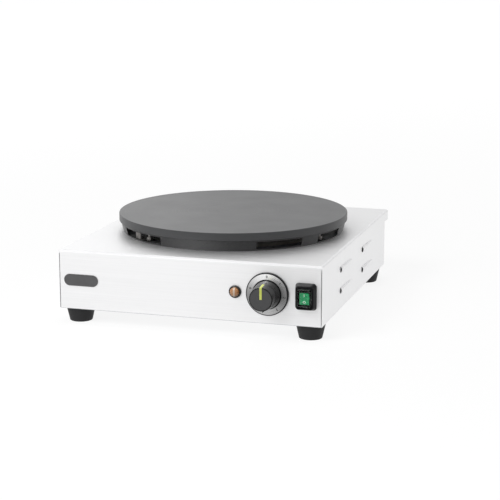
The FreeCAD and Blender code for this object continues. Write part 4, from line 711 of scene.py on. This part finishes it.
# The griddle: a round cast-iron plate with a deeper rim, turned flat on top and baked with a
# dark grey release coat. Bosses below take the element clamps, the brackets and the studs.
PLATE_THICKNESS = 0.009
RIM_DEPTH = 0.01325
RIM_INNER = 0.190
BOSS = 0.007
BOSS_ROOT = 0.001
CLAMP_RING = 0.108
SUPPORT_RING = 0.179
SUPPORT_BOSS_DEPTH = 0.004
ELEMENT_DEPTH = 0.008
CLAMPS = 3
BRACKET_ANGLES = (-130.8, -31.4, 49.2, 148.6)
STUD_ANGLES = (-124.9, -18.6, 55.1, 161.4)
PLATE_DARK = (0.088, 0.089, 0.092)
PLATE_PALE = (0.118, 0.119, 0.122)
# The upright faces' darker colour is painted shade: the top is lit more than the sides.
PLATE_SIDE_PAINTED_SHADE = (0.042, 0.043, 0.045, 1)


def on_ring(radius, degrees, z):
    """A place at a radius and an angle round the griddle's axis."""
    turn = math.radians(degrees)
    return (radius * math.cos(turn), axis_y + radius * math.sin(turn), z)


plate_low, plate_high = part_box("griddle_plate")
plate_top = plate_high.z
plate_radius = plate_high.x
rim_bottom = plate_top - RIM_DEPTH
plate_under = plate_top - PLATE_THICKNESS
plate = turned("griddle_plate_turned", [
    (0.09, plate_under), (RIM_INNER, plate_under), (RIM_INNER, rim_bottom),
    (plate_radius - 0.0005, rim_bottom), (plate_radius, rim_bottom + 0.0005),
    (plate_radius, plate_top - 0.0013), (plate_radius - 0.0003, plate_top - 0.0005),
    (plate_radius - 0.0008, plate_top - 0.0001), (plate_radius - 0.0014, plate_top),
    (0.12, plate_top), (0.04, plate_top)], 256)
set_at(plate, (0, axis_y, 0))
bosses = [(CLAMP_RING, 360 / CLAMPS * index, ELEMENT_DEPTH) for index in range(CLAMPS)]
bosses += [(SUPPORT_RING, degrees, SUPPORT_BOSS_DEPTH) for degrees in BRACKET_ANGLES + STUD_ANGLES]
for ring_radius, degrees, depth in bosses:
    place = on_ring(ring_radius, degrees, plate_under)
    cut_or_join(plate, round_bar("boss", BOSS, -depth, BOSS_ROOT, place), "UNION")
finish_edges(plate)


def turned_rings(finish, middle, across, per_metre):
    """Fine lathe rings round an axis through a middle. Across is 0 along the axis, else 1."""
    tree = finish.node_tree
    place = own_place(tree, [-value for value in middle], across)
    rings = tree.nodes.new("ShaderNodeTexNoise")
    rings.noise_dimensions = "1D"
    rings.inputs["Scale"].default_value = per_metre
    rings.inputs["Detail"].default_value = 2.0
    tree.links.new(on_vector(tree, "LENGTH", place), rings.inputs["W"])
    return rings.outputs[0]


def darker_sides(finish, colour):
    """Turned faces that look up keep their own colour, and upright ones take a darker one as painted
    shade.
    """
    tree = finish.node_tree
    socket = sockets(finish)["Base Color"]
    facing = parts_of(tree, given(tree, "NewGeometry", "Normal"))["Z"]
    upwards = run_between(tree, facing, 0.2, 0.9, 0.0, 1.0)
    tree.links.new(mix(tree, upwards, colour, socket.links[0].from_socket, "RGBA"), socket)


release_coat = new_finish("release_coat", PLATE_PALE, 0.42)
vary_colour(release_coat, noise_on(release_coat, (18, 18, 18), 5.0), PLATE_DARK, PLATE_PALE)
# Painted shade: the rim's sides and the bosses are coloured darker than the top.
darker_sides(release_coat, PLATE_SIDE_PAINTED_SHADE)
plate_rings = turned_rings(release_coat, (0, axis_y, 0), (1, 1, 0), 700)
vary_roughness(release_coat, plate_rings, 0.36, 0.44)
emboss(release_coat, noise_on(release_coat, (1500, 1500, 1500)), 0.000012)
place_piece(plate, release_coat, "plate_iron", "housing", "griddle_plate")

# Under the griddle: two ring heaters in oxidised steel sheaths, held up by a clamp plate, over
# a mat of white fibre. Their ends come down through ceramic bushes. The sensor, its tube and the
# earth stud are bare copper.
sheath = grained("element_sheath", (0.10, 0.10, 0.09), (0.26, 0.25, 0.22), (0.5, 0.7), 300, 0.00002,
                 0.8)
fibre = grained("blanket_fibre", (0.66, 0.65, 0.60), (0.86, 0.85, 0.80), (0.85, 1.0), 900, 0.0004,
                tall=3)
ceramic = grained("white_ceramic", (0.74, 0.72, 0.66), (0.88, 0.86, 0.80), (0.6, 0.8), 600, 0.00003)
copper = grained("bare_copper", (0.56, 0.28, 0.15), (0.78, 0.44, 0.26), (0.25, 0.45), 250, 0.000008,
                 1.0)
coat_all(sheath, "inner_element", "outer_element")
coat_all(fibre, "insulation_blanket")
coat_all(ceramic, "element_bushes", "terminal_block", "safety_cut_out")
coat_all(copper, "sensor_bulb", "capillary_tube", "earth_stud")

# The skirt: a black painted steel ring that widens upwards from the deck to the griddle's rim.
# Windows in it let the heat out, and four tabs inside it lie under the hold-down nuts.
SKIRT_WALL = 0.0012
SKIRT_BASE = 0.193
SKIRT_TOP = 0.1975
SILL = 0.0025
WINDOW_HEIGHT = 0.013
WINDOW_SPANS = ((-142.0, -111.0), (-61.5, -37.0), (-26.0, -6.0))
TAB_INNER = 0.172
TAB_HOLE = 0.0032
RING_STEPS = 720

skirt_low, skirt_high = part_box("skirt_ring")
skirt_height = skirt_high.z - deck_z


def skirt_radius(z):
    """The ring's radius at a height."""
    return SKIRT_BASE + (SKIRT_TOP - SKIRT_BASE) * (z - deck_z) / skirt_height


def in_window(spot):
    """Whether a face of the ring lies in one of the windows or opposite one."""
    if not SILL < spot.z - deck_z < SILL + WINDOW_HEIGHT:
        return False
    turn = math.degrees(math.atan2(spot.y - axis_y, spot.x))
    return any(first < turn - half_turn < last
               for first, last in WINDOW_SPANS for half_turn in (0, 180, 360, -180))


clear_bench()
levels = (deck_z, deck_z + SILL, deck_z + SILL + WINDOW_HEIGHT, skirt_high.z - SKIRT_WALL / 4)
bpy.ops.mesh.primitive_circle_add(vertices=RING_STEPS, radius=SKIRT_BASE,
                                  location=(0, axis_y, deck_z), fill_type="NOTHING")
skirt = bpy.context.object
skirt.name = "skirt_ring_rolled"
bpy.ops.object.transform_apply()
bpy.ops.object.mode_set(mode="EDIT")
bpy.ops.mesh.select_mode(type="VERT")
bpy.ops.mesh.select_all(action="SELECT")
for below, above in zip(levels, levels[1:]):
    pull_out(0, 0, above - below)
    wider = skirt_radius(above) / skirt_radius(below)
    bpy.ops.transform.resize(value=(wider, wider, 1), center_override=(0, axis_y, above))
face_outwards()
pick(skirt, "FACE", lambda spot, out: in_window(spot))
bpy.ops.mesh.delete(type="FACE")
apply_step(skirt, "SOLIDIFY", thickness=SKIRT_WALL, offset=-1)
tabs = []
for degrees in STUD_ANGLES:
    tab = box_between("tab", (TAB_INNER, -BOSS, 0), (SKIRT_BASE - SKIRT_WALL / 2, BOSS, SKIRT_WALL))
    hole = round_bar("tab_hole", TAB_HOLE, -SKIRT_WALL, SKIRT_WALL * 2, (SUPPORT_RING, 0, 0))
    cut_or_join(tab, hole, "DIFFERENCE")
    tabs.append(set_at(tab, (0, axis_y, deck_z + SHEET), (0, 0, math.radians(degrees))))
skirt = join_all([skirt] + tabs)
finish_edges(skirt)
skirt_paint = grained("skirt_paint", (0.012, 0.012, 0.013), (0.022, 0.022, 0.023), (0.28, 0.40), 400,
                      0.00001, gloss=0.4)
place_piece(skirt, skirt_paint, "skirt_black", "housing", "skirt_ring")

# The badge: a blank pill of satin black plastic, moulded with a thin raised rim round a sunk
# face, and stuck to the front.
BADGE_RIM = 0.0007
BADGE_SINK = 0.00025
badge_low, badge_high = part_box("name_badge")
badge = box_between("name_badge_moulded", badge_low, badge_high)
badge_height = badge_high.z - badge_low.z
work_on(badge)
pick(badge, "EDGE", lambda spot, along: abs(along.y) > 0.0005)
bpy.ops.mesh.bevel(offset=badge_height * 0.499, segments=16, affect="EDGES")
pick(badge, "FACE", lambda spot, out: out.y < -0.9)
bpy.ops.mesh.inset(thickness=BADGE_RIM)
bpy.ops.mesh.inset(thickness=BADGE_SINK)
bpy.ops.transform.translate(value=(0, BADGE_SINK, 0))
finish_edges(badge)
badge_plastic = grained("badge_plastic", (0.112, 0.112, 0.114), (0.134, 0.134, 0.137), (0.38, 0.5),
                        60, 0.000005)
place_piece(badge, badge_plastic, "badge_black", "housing", "name_badge")

# The heating lamp: a dark rim with a rolled edge round a domed amber lens that is ribbed inside.
# The ribs' light and shade is painted on as lighter and darker wedges, and a pale streak down
# the lens's middle is a painted highlight. A nut behind the panel holds the lamp.
LENS_RADIUS = 0.0076
LENS_PLAY = 0.00006
LENS_SEAT = 0.0044
LENS_TOP = 0.0078
LENS_RIBS = 12
LENS_DARK = (0.54, 0.21, 0.065)
LENS_AMBER = (0.82, 0.38, 0.13)
# The pale streak down the middle of the lens is a painted highlight.
STREAK_HALF = 0.0010
STREAK_EDGE = 0.0022
PAINTED_HIGHLIGHT_PALE = (0.98, 0.82, 0.66, 1)
bezel_radius = half_size("lamp_bezel")[0]
bezel_rise = front_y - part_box("lamp_bezel")[0].y
lens_hole = LENS_RADIUS + LENS_PLAY


def set_on_front(piece, place, angle=30.0):
    """Finish the edges of a piece that was made facing up, and set it facing the user."""
    finish_edges(piece, angle)
    set_at(piece, place, TO_THE_USER)


bezel = turned("lamp_bezel_turned", [
    (bezel_radius, 0), (bezel_radius, bezel_rise * 0.45), (bezel_radius * 0.97, bezel_rise * 0.75),
    (bezel_radius * 0.90, bezel_rise * 0.95), (bezel_radius * 0.83, bezel_rise),
    (bezel_radius * 0.77, bezel_rise * 0.93), (lens_hole, bezel_rise * 0.7), (lens_hole, 0)], 96,
    True)
lamp_place = (lamp_x, front_y, controls_z)
set_on_front(bezel, lamp_place, 60)
bezel_black = grained("bezel_black", (0.012, 0.011, 0.010), (0.028, 0.026, 0.024), (0.14, 0.24), 300)
place_piece(bezel, bezel_black, "bezel_black", "housing", "lamp_bezel")
coat_all(bezel_black, "lamp_holder", "lamp_nut")

lens = turned("lamp_lens_moulded", [
    (LENS_RADIUS, 0), (LENS_RADIUS, LENS_SEAT), (LENS_RADIUS * 0.97, 0.0052),
    (LENS_RADIUS * 0.88, 0.0061), (LENS_RADIUS * 0.74, 0.0068), (LENS_RADIUS * 0.56, 0.0073),
    (LENS_RADIUS * 0.36, 0.0076), (LENS_RADIUS * 0.14, LENS_TOP)], 96)
set_on_front(lens, lamp_place, 80)


def lens_ribs(finish):
    """Lighter and darker wedges from the dome's middle as painted light and shade of ribs, and a
    pale streak as a painted highlight.
    """
    tree = finish.node_tree
    x, _, z = parts_of(tree, own_place(tree, (-lamp_x, 0, -controls_z)))
    turn = calculate(tree, "MULTIPLY", calculate(tree, "ARCTAN2", x, z), LENS_RIBS)
    wave = run_between(tree, calculate(tree, "SINE", turn), -1.0, 1.0, *NOISE_MIDDLE)
    vary_colour(finish, wave, LENS_DARK, LENS_AMBER)
    socket = sockets(finish)["Base Color"]
    # A pale vertical streak down the dome's middle: a painted highlight.
    tube = run_between(tree, calculate(tree, "ABSOLUTE", x), STREAK_HALF, STREAK_EDGE, 0.8, 0.0)
    tree.links.new(mix(tree, tube, socket.links[0].from_socket, PAINTED_HIGHLIGHT_PALE, "RGBA"), socket)


lens_amber = new_finish("lens_amber", LENS_AMBER, 0.16)
sockets(lens_amber)["Transmission Weight"].default_value = 0.15
sockets(lens_amber)["Coat Weight"].default_value = 0.8
sockets(lens_amber)["Coat Roughness"].default_value = 0.08
lens_ribs(lens_amber)
place_piece(lens, lens_amber, "lamp_amber", "housing", "lamp_lens")

# The dial: a round black plate screwed to the thermostat through the front, with a bright
# spun ring on it that carries plain numbers round the knob.
DIAL_SINK = 0.0015
DIAL_SEAT = 0.0043
FACE_THICKNESS = 0.001
FACE_INNER = 0.0242
FACE_OUTER = 0.0334
FACE_CHAMFER = 0.0003
BUSHING = 0.0055
WELL = FACE_INNER - 0.002
NUMBER_SIZE = 0.00616
NUMBER_RELIEF = 0.00006
NUMBER_WEIGHT = 0.00012
NUMBER_STEP = 48
NUMBERS = 7
dial_place = (dial_x, front_y, controls_z)
dial_radius = half_size("dial_base")[0]
base = turned("dial_base_moulded", [
    (BUSHING, 0), (dial_radius, 0), (dial_radius, DIAL_SEAT - 0.0011),
    (dial_radius - 0.0003, DIAL_SEAT - 0.0004), (dial_radius - 0.001, DIAL_SEAT),
    (WELL, DIAL_SEAT), (WELL, DIAL_SINK), (BUSHING, DIAL_SINK)], 160, True)
set_on_front(base, dial_place)
panel_black = grained("panel_black", (0.009, 0.009, 0.010), (0.018, 0.018, 0.020), (0.26, 0.38), 500,
                      0.000008, gloss=0.18)
place_piece(base, panel_black, "panel_black", "housing", "dial_base")
coat_all(panel_black, "gland_nut", "thermostat_body", "switch_body")

face_front = DIAL_SEAT + FACE_THICKNESS
face_side = DIAL_SEAT + FACE_THICKNESS * 0.7
ring = turned("dial_face_spun", [
    (FACE_INNER, DIAL_SEAT), (FACE_OUTER, DIAL_SEAT), (FACE_OUTER, face_side),
    (FACE_OUTER - FACE_CHAMFER, face_front), (FACE_INNER + FACE_CHAMFER, face_front),
    (FACE_INNER, face_side)], 160, True)
set_on_front(ring, dial_place)


def spun_sheen(finish, mean, crossways, upwards):
    """A painted highlight: bright where the spun rings lie level, above most of all, and grey at the
    sides.
    """
    tree = finish.node_tree
    place = own_place(tree, (-dial_x, 0, -controls_z), (1, 0, 1))
    z = parts_of(tree, on_vector(tree, "NORMALIZE", place))["Z"]
    squared = calculate(tree, "MULTIPLY", z, z)
    level = run_between(tree, squared, 0, 1, mean - crossways, mean + crossways)
    rise = calculate(tree, "MULTIPLY_ADD", z, upwards, level)
    grey = tree.nodes.new("ShaderNodeCombineColor")
    for channel in ("Red", "Green", "Blue"):
        tree.links.new(rise, grey.inputs[channel])
    tree.links.new(grey.outputs["Color"], sockets(finish)["Base Color"])


# The ring's colour is painted highlight and shade: bright above and below, grey at the sides.
spun_ring_painted_highlight = new_finish("spun_ring_painted_highlight", (0.78, 0.78, 0.79), 0.3, 1.0)
spun_sheen(spun_ring_painted_highlight, 0.54, 0.24, 0.21)
rings = turned_rings(spun_ring_painted_highlight, (dial_x, 0, controls_z), (1, 0, 1), 2500)
vary_roughness(spun_ring_painted_highlight, rings, 0.24, 0.36)
emboss(spun_ring_painted_highlight, rings, 0.00002)
place_piece(ring, spun_ring_painted_highlight, "dial_bright", "housing", "dial_face")

number_radius = (FACE_INNER + FACE_OUTER) / 2
marks = []
for index in range(NUMBERS):
    clear_bench()
    bpy.ops.object.text_add(location=(0, 0, 0))
    number = bpy.context.object
    number.data.body = str(index)
    number.data.size = NUMBER_SIZE
    number.data.extrude = NUMBER_RELIEF
    number.data.offset = NUMBER_WEIGHT
    number.data.resolution_u = 3
    number.data.align_x = "CENTER"
    number.data.align_y = "CENTER"
    bpy.ops.object.convert(target="MESH")
    number = bpy.context.object
    turn = math.radians(-NUMBER_STEP * index)
    spot = (-math.sin(turn) * number_radius, math.cos(turn) * number_radius, face_front)
    set_at(number, spot, (0, 0, turn))
    marks.append(set_at(number, dial_place, TO_THE_USER))
marks[0].name = "dial_numbers"
numbers = join_all(marks)
ink = grained("dial_ink", (0.020, 0.020, 0.022), (0.045, 0.045, 0.048), (0.5, 0.7), 800, gloss=0.3)
place_piece(numbers, ink, "panel_black", "housing")

# The knob: a hollow cone of gloss black plastic pushed on the thermostat's shaft. A matt disc
# fills its front, and a bright green strip runs from the middle over the edge and down its side.
KNOB_BASE = 0.023
KNOB_FRONT = 0.0193
KNOB_LIP = 0.0178
KNOB_WALL = 0.0022
KNOB_HOLLOW = 0.0171
KNOB_ROOF = 0.003
CAP_DEPTH = 0.0013
CAP_PLAY = 0.00005
SHAFT_BORE = 0.00305
HUB = 0.0065
HUB_FOOT = 0.003
STRIP_HALF = 0.002
STRIP_SIDE = 0.016
STRIP_SPREAD = 0.0018
STRIP_OVER = 0.0014
STRIP_RISE = 0.0003
EDGE_INSET = 0.0012
knob_low, knob_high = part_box("knob_body")
knob_front = knob_high.y - knob_low.y
knob_place = (dial_x, knob_high.y, controls_z)
seat = knob_front - CAP_DEPTH
roof = seat - KNOB_ROOF
slot_half = STRIP_HALF + CAP_PLAY
slot_end = KNOB_FRONT - EDGE_INSET
strip_end = slot_end + 0.0001
knob = turned("knob_body_moulded", [
    (SHAFT_BORE, roof - 0.001), (SHAFT_BORE, HUB_FOOT), (HUB, HUB_FOOT), (HUB, roof),
    (KNOB_HOLLOW, roof), (KNOB_BASE - KNOB_WALL, 0), (KNOB_BASE - 0.0006, 0), (KNOB_BASE, 0.0006),
    (KNOB_FRONT + 0.00012, knob_front - 0.0014), (KNOB_FRONT - 0.0001, knob_front - 0.0006),
    (KNOB_FRONT - 0.0005, knob_front - 0.00015), (KNOB_FRONT - 0.001, knob_front),
    (KNOB_LIP, knob_front), (KNOB_LIP, seat)], 160)
front_slot = box_between("strip_slot", (-slot_half, 0, seat + 0.0001),
                         (slot_half, slot_end, knob_front + 0.002))
cut_or_join(knob, front_slot, "DIFFERENCE")
side_slot = box_between("strip_slot", (-slot_half, 0, -STRIP_SIDE - 0.0002),
                        (slot_half, 0.006, 0.004))
lean = math.atan2(STRIP_SPREAD, STRIP_SIDE)
set_at(side_slot, (0, slot_end, knob_front), (lean, 0, 0))
cut_or_join(knob, side_slot, "DIFFERENCE")
set_on_front(knob, knob_place, 40)
gloss_black = grained("knob_gloss", (0.006, 0.006, 0.006), (0.012, 0.012, 0.013), (0.10, 0.18), 90,
                      gloss=0.3)
place_piece(knob, gloss_black, "bezel_black", "knob", "knob_body")

cap_radius = KNOB_LIP - CAP_PLAY
cap = turned("knob_cap_matt", [(cap_radius, seat), (cap_radius, knob_front - 0.0004),
                               (KNOB_LIP - 0.0003, knob_front - 0.0002)], 160)
groove = box_between("cap_groove", (-slot_half, -0.0001, seat - 0.001),
                     (slot_half, KNOB_FRONT, knob_front + 0.001))
cut_or_join(cap, groove, "DIFFERENCE")
set_on_front(cap, knob_place)
cap_matt = grained("cap_matt", (0.060, 0.060, 0.062), (0.088, 0.088, 0.090), (0.42, 0.56), 1200,
                   0.00001)
place_piece(cap, cap_matt, "knob_front", "knob", "knob_cap")

strip = box_between("knob_pointer_strip", (-STRIP_HALF, 0, seat + 0.00015),
                    (STRIP_HALF, strip_end, knob_front + STRIP_RISE))
work_on(strip)
pick(strip, "FACE", lambda spot, out: out.y > 0.9)
pull_out(0, STRIP_OVER, -STRIP_RISE)
pick(strip, "FACE", lambda spot, out: out.z < -0.8 and spot.y > strip_end)
pull_out(0, STRIP_SPREAD, -STRIP_SIDE + CAP_DEPTH)
face_outwards()
soften(strip, 0.00025, 2, 30)
set_on_front(strip, knob_place)
strip_green = grained("strip_green", (0.80, 0.88, 0.16), (0.90, 0.96, 0.26), (0.28, 0.4), 150)
place_piece(strip, strip_green, "pointer_green", "knob", "knob_pointer")
coat_all(bright_steel, "thermostat_shaft")

# The switch: a black frame that tapers forwards, with rounded corners and a stepped front.
# The green rocker tips on an axle inside it, under a clear cap that keeps splashes out.
FRAME_CORNER = 0.0055
FRAME_EDGE = 0.0013
FRAME_TAPER = 0.003
FRAME_BORDER = 0.0012
FRAME_SLOPE = 0.0004
FRAME_STEP = 0.0011
FRAME_PLAY = 0.0001
ROCKER_HALF_WIDTH = 0.008
ROCKER_HALF_LENGTH = 0.010
ROCKER_BELOW = 0.0025
ROCKER_PIVOT = 0.004
ROCKER_SWING = 7.0
ROCKER_CREST = 0.008
ROCKER_DISH = 0.0012
ROCKER_WAIST = 0.005
AXLE = 0.0012
AXLE_PLAY = 0.0004
MARK_HEIGHT = 0.0044
MARK_HALF_WIDTH = 0.0005
MARK_RELIEF = 0.00008
CAP_WALL = 0.0012
CAP_ROOF = 0.0008
CAP_TAPER = 0.0003
half_x, half_deep, half_z = half_size("switch_frame")
switch_depth = half_deep * 2
switch_place = (switch_x, front_y, controls_z)
case_x, _, case_z = half_size("switch_body")
window_x = case_x + FRAME_PLAY
window_z = case_z + FRAME_PLAY


def tapered_block(name, half_wide, half_tall, low, high, corner, front_corner, taper):
    """A block that narrows forwards, with rounded upright corners and a softened front."""
    block = box_between(name, (-half_wide, -half_tall, low), (half_wide, half_tall, high))
    work_on(block)
    pick(block, "FACE", lambda spot, out: out.z > 0.9)
    narrow = ((half_wide - taper) / half_wide, (half_tall - taper) / half_tall, 1)
    bpy.ops.transform.resize(value=narrow, center_override=(0, 0, high))
    pick(block, "EDGE", lambda spot, along: abs(along.z) > (high - low) / 2)
    bpy.ops.mesh.bevel(offset=corner, segments=8, affect="EDGES")
    pick(block, "EDGE", lambda spot, along: spot.z > high - 0.00001)
    bpy.ops.mesh.bevel(offset=front_corner, segments=4, affect="EDGES")
    return block


switch_frame = tapered_block("switch_frame_moulded", half_x, half_z, 0, switch_depth, FRAME_CORNER,
                             FRAME_EDGE, FRAME_TAPER)
work_on(switch_frame)
pick(switch_frame, "FACE", lambda spot, out: out.z > 0.9)
bpy.ops.mesh.inset(thickness=FRAME_BORDER)
bpy.ops.mesh.inset(thickness=FRAME_SLOPE)
bpy.ops.transform.translate(value=(0, 0, -FRAME_STEP))
window = box_between("frame_window", (-window_x, -window_z, -0.002),
                     (window_x, window_z, switch_depth * 2))
cut_or_join(switch_frame, window, "DIFFERENCE")
set_on_front(switch_frame, switch_place)
frame_black = grained("frame_black", (0.006, 0.006, 0.007), (0.011, 0.011, 0.012), (0.16, 0.26), 400,
                      0.000004, gloss=0.12)
place_piece(switch_frame, frame_black, "panel_black", "housing", "switch_frame")

rocker = box_between("switch_rocker_moulded",
                     (-ROCKER_HALF_WIDTH, -ROCKER_HALF_LENGTH, -ROCKER_BELOW),
                     (ROCKER_HALF_WIDTH, ROCKER_HALF_LENGTH, ROCKER_CREST))
work_on(rocker)
pick(rocker, "FACE", lambda spot, out: out.z < -0.9)
bpy.ops.transform.resize(value=(1, 0.6, 1), center_override=(0, 0, -ROCKER_BELOW))
bpy.ops.mesh.select_all(action="SELECT")
bpy.ops.mesh.bisect(plane_co=(0, 0, 0), plane_no=(0, 1, 0))
pick(rocker, "EDGE", lambda spot, along: abs(spot.y) < 0.0001 and spot.z > ROCKER_CREST * 0.9)
bpy.ops.transform.translate(value=(0, 0, -ROCKER_DISH))
pick(rocker, "EDGE", lambda spot, along: abs(spot.y) < 0.0001 and spot.z > ROCKER_CREST * 0.7
     and abs(along.x) > 0.001)
bpy.ops.mesh.bevel(offset=ROCKER_WAIST, segments=6, affect="EDGES")
soften(rocker, 0.0004, 3, 40)
axle = round_bar("rocker_axle", AXLE, -window_x + AXLE_PLAY, window_x - AXLE_PLAY,
                 facing=(0, math.pi / 2, 0), sides=32)
cut_or_join(rocker, axle, "UNION")
finish_edges(rocker)
rocker_place = (switch_x, front_y - ROCKER_PIVOT, controls_z)
rocker_facing = (math.pi / 2 + math.radians(ROCKER_SWING), 0, 0)
set_at(rocker, rocker_place, rocker_facing)
rocker_green = grained("rocker_green", (0.002, 0.24, 0.085), (0.003, 0.32, 0.115), (0.2, 0.32), 80,
                       gloss=0.3)
sockets(rocker_green)["Coat Weight"].default_value = 0.4
place_piece(rocker, rocker_green, "rocker_green", "rocker", "switch_rocker")

mark_y = ROCKER_HALF_LENGTH * 0.58
mark_z = ROCKER_CREST - ROCKER_DISH + ROCKER_DISH * 0.58
slant = math.atan2(ROCKER_DISH, ROCKER_HALF_LENGTH)
on_mark = box_between("rocker_marks", (-MARK_HALF_WIDTH, -MARK_HEIGHT / 2, 0),
                      (MARK_HALF_WIDTH, MARK_HEIGHT / 2, MARK_RELIEF))
set_at(on_mark, (0, mark_y, mark_z), (slant, 0, 0))
off_mark = turned("off_mark", [(MARK_HEIGHT * 0.32, 0), (MARK_HEIGHT * 0.5, 0),
                               (MARK_HEIGHT * 0.5, MARK_RELIEF),
                               (MARK_HEIGHT * 0.32, MARK_RELIEF)], 48, True)
set_at(off_mark, (0, -mark_y, mark_z), (-slant, 0, 0))
rocker_marks = join_all([on_mark, off_mark])
set_at(rocker_marks, rocker_place, rocker_facing)
mark_white = grained("mark_white", (0.70, 0.74, 0.71), (0.82, 0.86, 0.83), (0.4, 0.5), 500)
place_piece(rocker_marks, mark_white, "rocker_green", "rocker")

cover_x, cover_deep, cover_z = half_size("switch_cover")
cover = tapered_block("switch_cover_clear", cover_x, cover_z, 0, cover_deep * 2, 0.003, 0.0008,
                      CAP_TAPER)
hollow = tapered_block("cover_hollow", cover_x - CAP_WALL, cover_z - CAP_WALL, -0.001,
                       cover_deep * 2 - CAP_ROOF, 0.0018, 0.0004, CAP_TAPER)
cut_or_join(cover, hollow, "DIFFERENCE")
set_on_front(cover, (switch_x, front_y - switch_depth, controls_z))
cover_clear = new_finish("cover_clear", (0.90, 0.96, 0.92), 0.06)
vary_roughness(cover_clear, noise_on(cover_clear, (200, 200, 200)), 0.03, 0.09)
sockets(cover_clear)["Transmission Weight"].default_value = 1.0
sockets(cover_clear)["IOR"].default_value = 1.2
place_piece(cover, cover_clear, "cover_clear", "housing", "switch_cover")

# The cord's way in: a black moulded gland screwed through the rear panel, with a hexagon, a
# ribbed dome nut and a round bore.
GLAND_BORE = 0.0055
GLAND_THREAD = 0.010
GLAND_DOME = 0.012
GLAND_DOME_END = 0.0125
GLAND_NOSE = 0.008
GLAND_HEX = 0.006
GLAND_RIBS = 16
RIB_HALF_WIDTH = 0.0006
RIB_PROUD = 0.0005
gland_low, gland_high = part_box("cable_gland")
gland_x, _, gland_z = middle_of("cable_gland")
gland_reach = gland_high.y - panel_high.y
inner_end = panel_high.y - gland_low.y
gland = turned("cable_gland_moulded", [
    (GLAND_BORE, -inner_end), (GLAND_THREAD - 0.0006, -inner_end),
    (GLAND_THREAD, -inner_end + 0.0006), (GLAND_THREAD, 0), (GLAND_DOME, 0),
    (GLAND_DOME, GLAND_DOME_END), (GLAND_DOME - 0.0008, 0.0145), (GLAND_DOME - 0.0022, 0.0158),
    (GLAND_NOSE, 0.0170), (GLAND_NOSE, gland_reach - 0.0005), (GLAND_NOSE - 0.0005, gland_reach),
    (GLAND_BORE + 0.0008, gland_reach), (GLAND_BORE, gland_reach - 0.0015)], 96, True)
collar = round_bar("gland_hexagon", half_size("cable_gland")[0], 0, GLAND_HEX, sides=6)
soften(collar, 0.0006, 2, 35)
collar_hole = round_bar("collar_hole", GLAND_THREAD - 0.001, -0.001, GLAND_HEX * 2)
cut_or_join(collar, collar_hole, "DIFFERENCE")
set_at(collar, (0, 0, 0), (0, 0, math.pi / 6))
finish_edges(collar)
ribs = []
for index in range(GLAND_RIBS):
    rib = box_between("gland_rib", (GLAND_DOME - 0.0008, -RIB_HALF_WIDTH, GLAND_HEX + 0.0006),
                      (GLAND_DOME + RIB_PROUD, RIB_HALF_WIDTH, GLAND_DOME_END))
    ribs.append(set_at(rib, (0, 0, 0), (0, 0, 2 * math.pi * index / GLAND_RIBS)))
finish_edges(gland)
gland = join_all([gland, collar] + ribs)
set_at(gland, (gland_x, panel_high.y, gland_z), TO_THE_REAR)
place_piece(gland, panel_black, "panel_black", "housing", "cable_gland")

clear_bench()
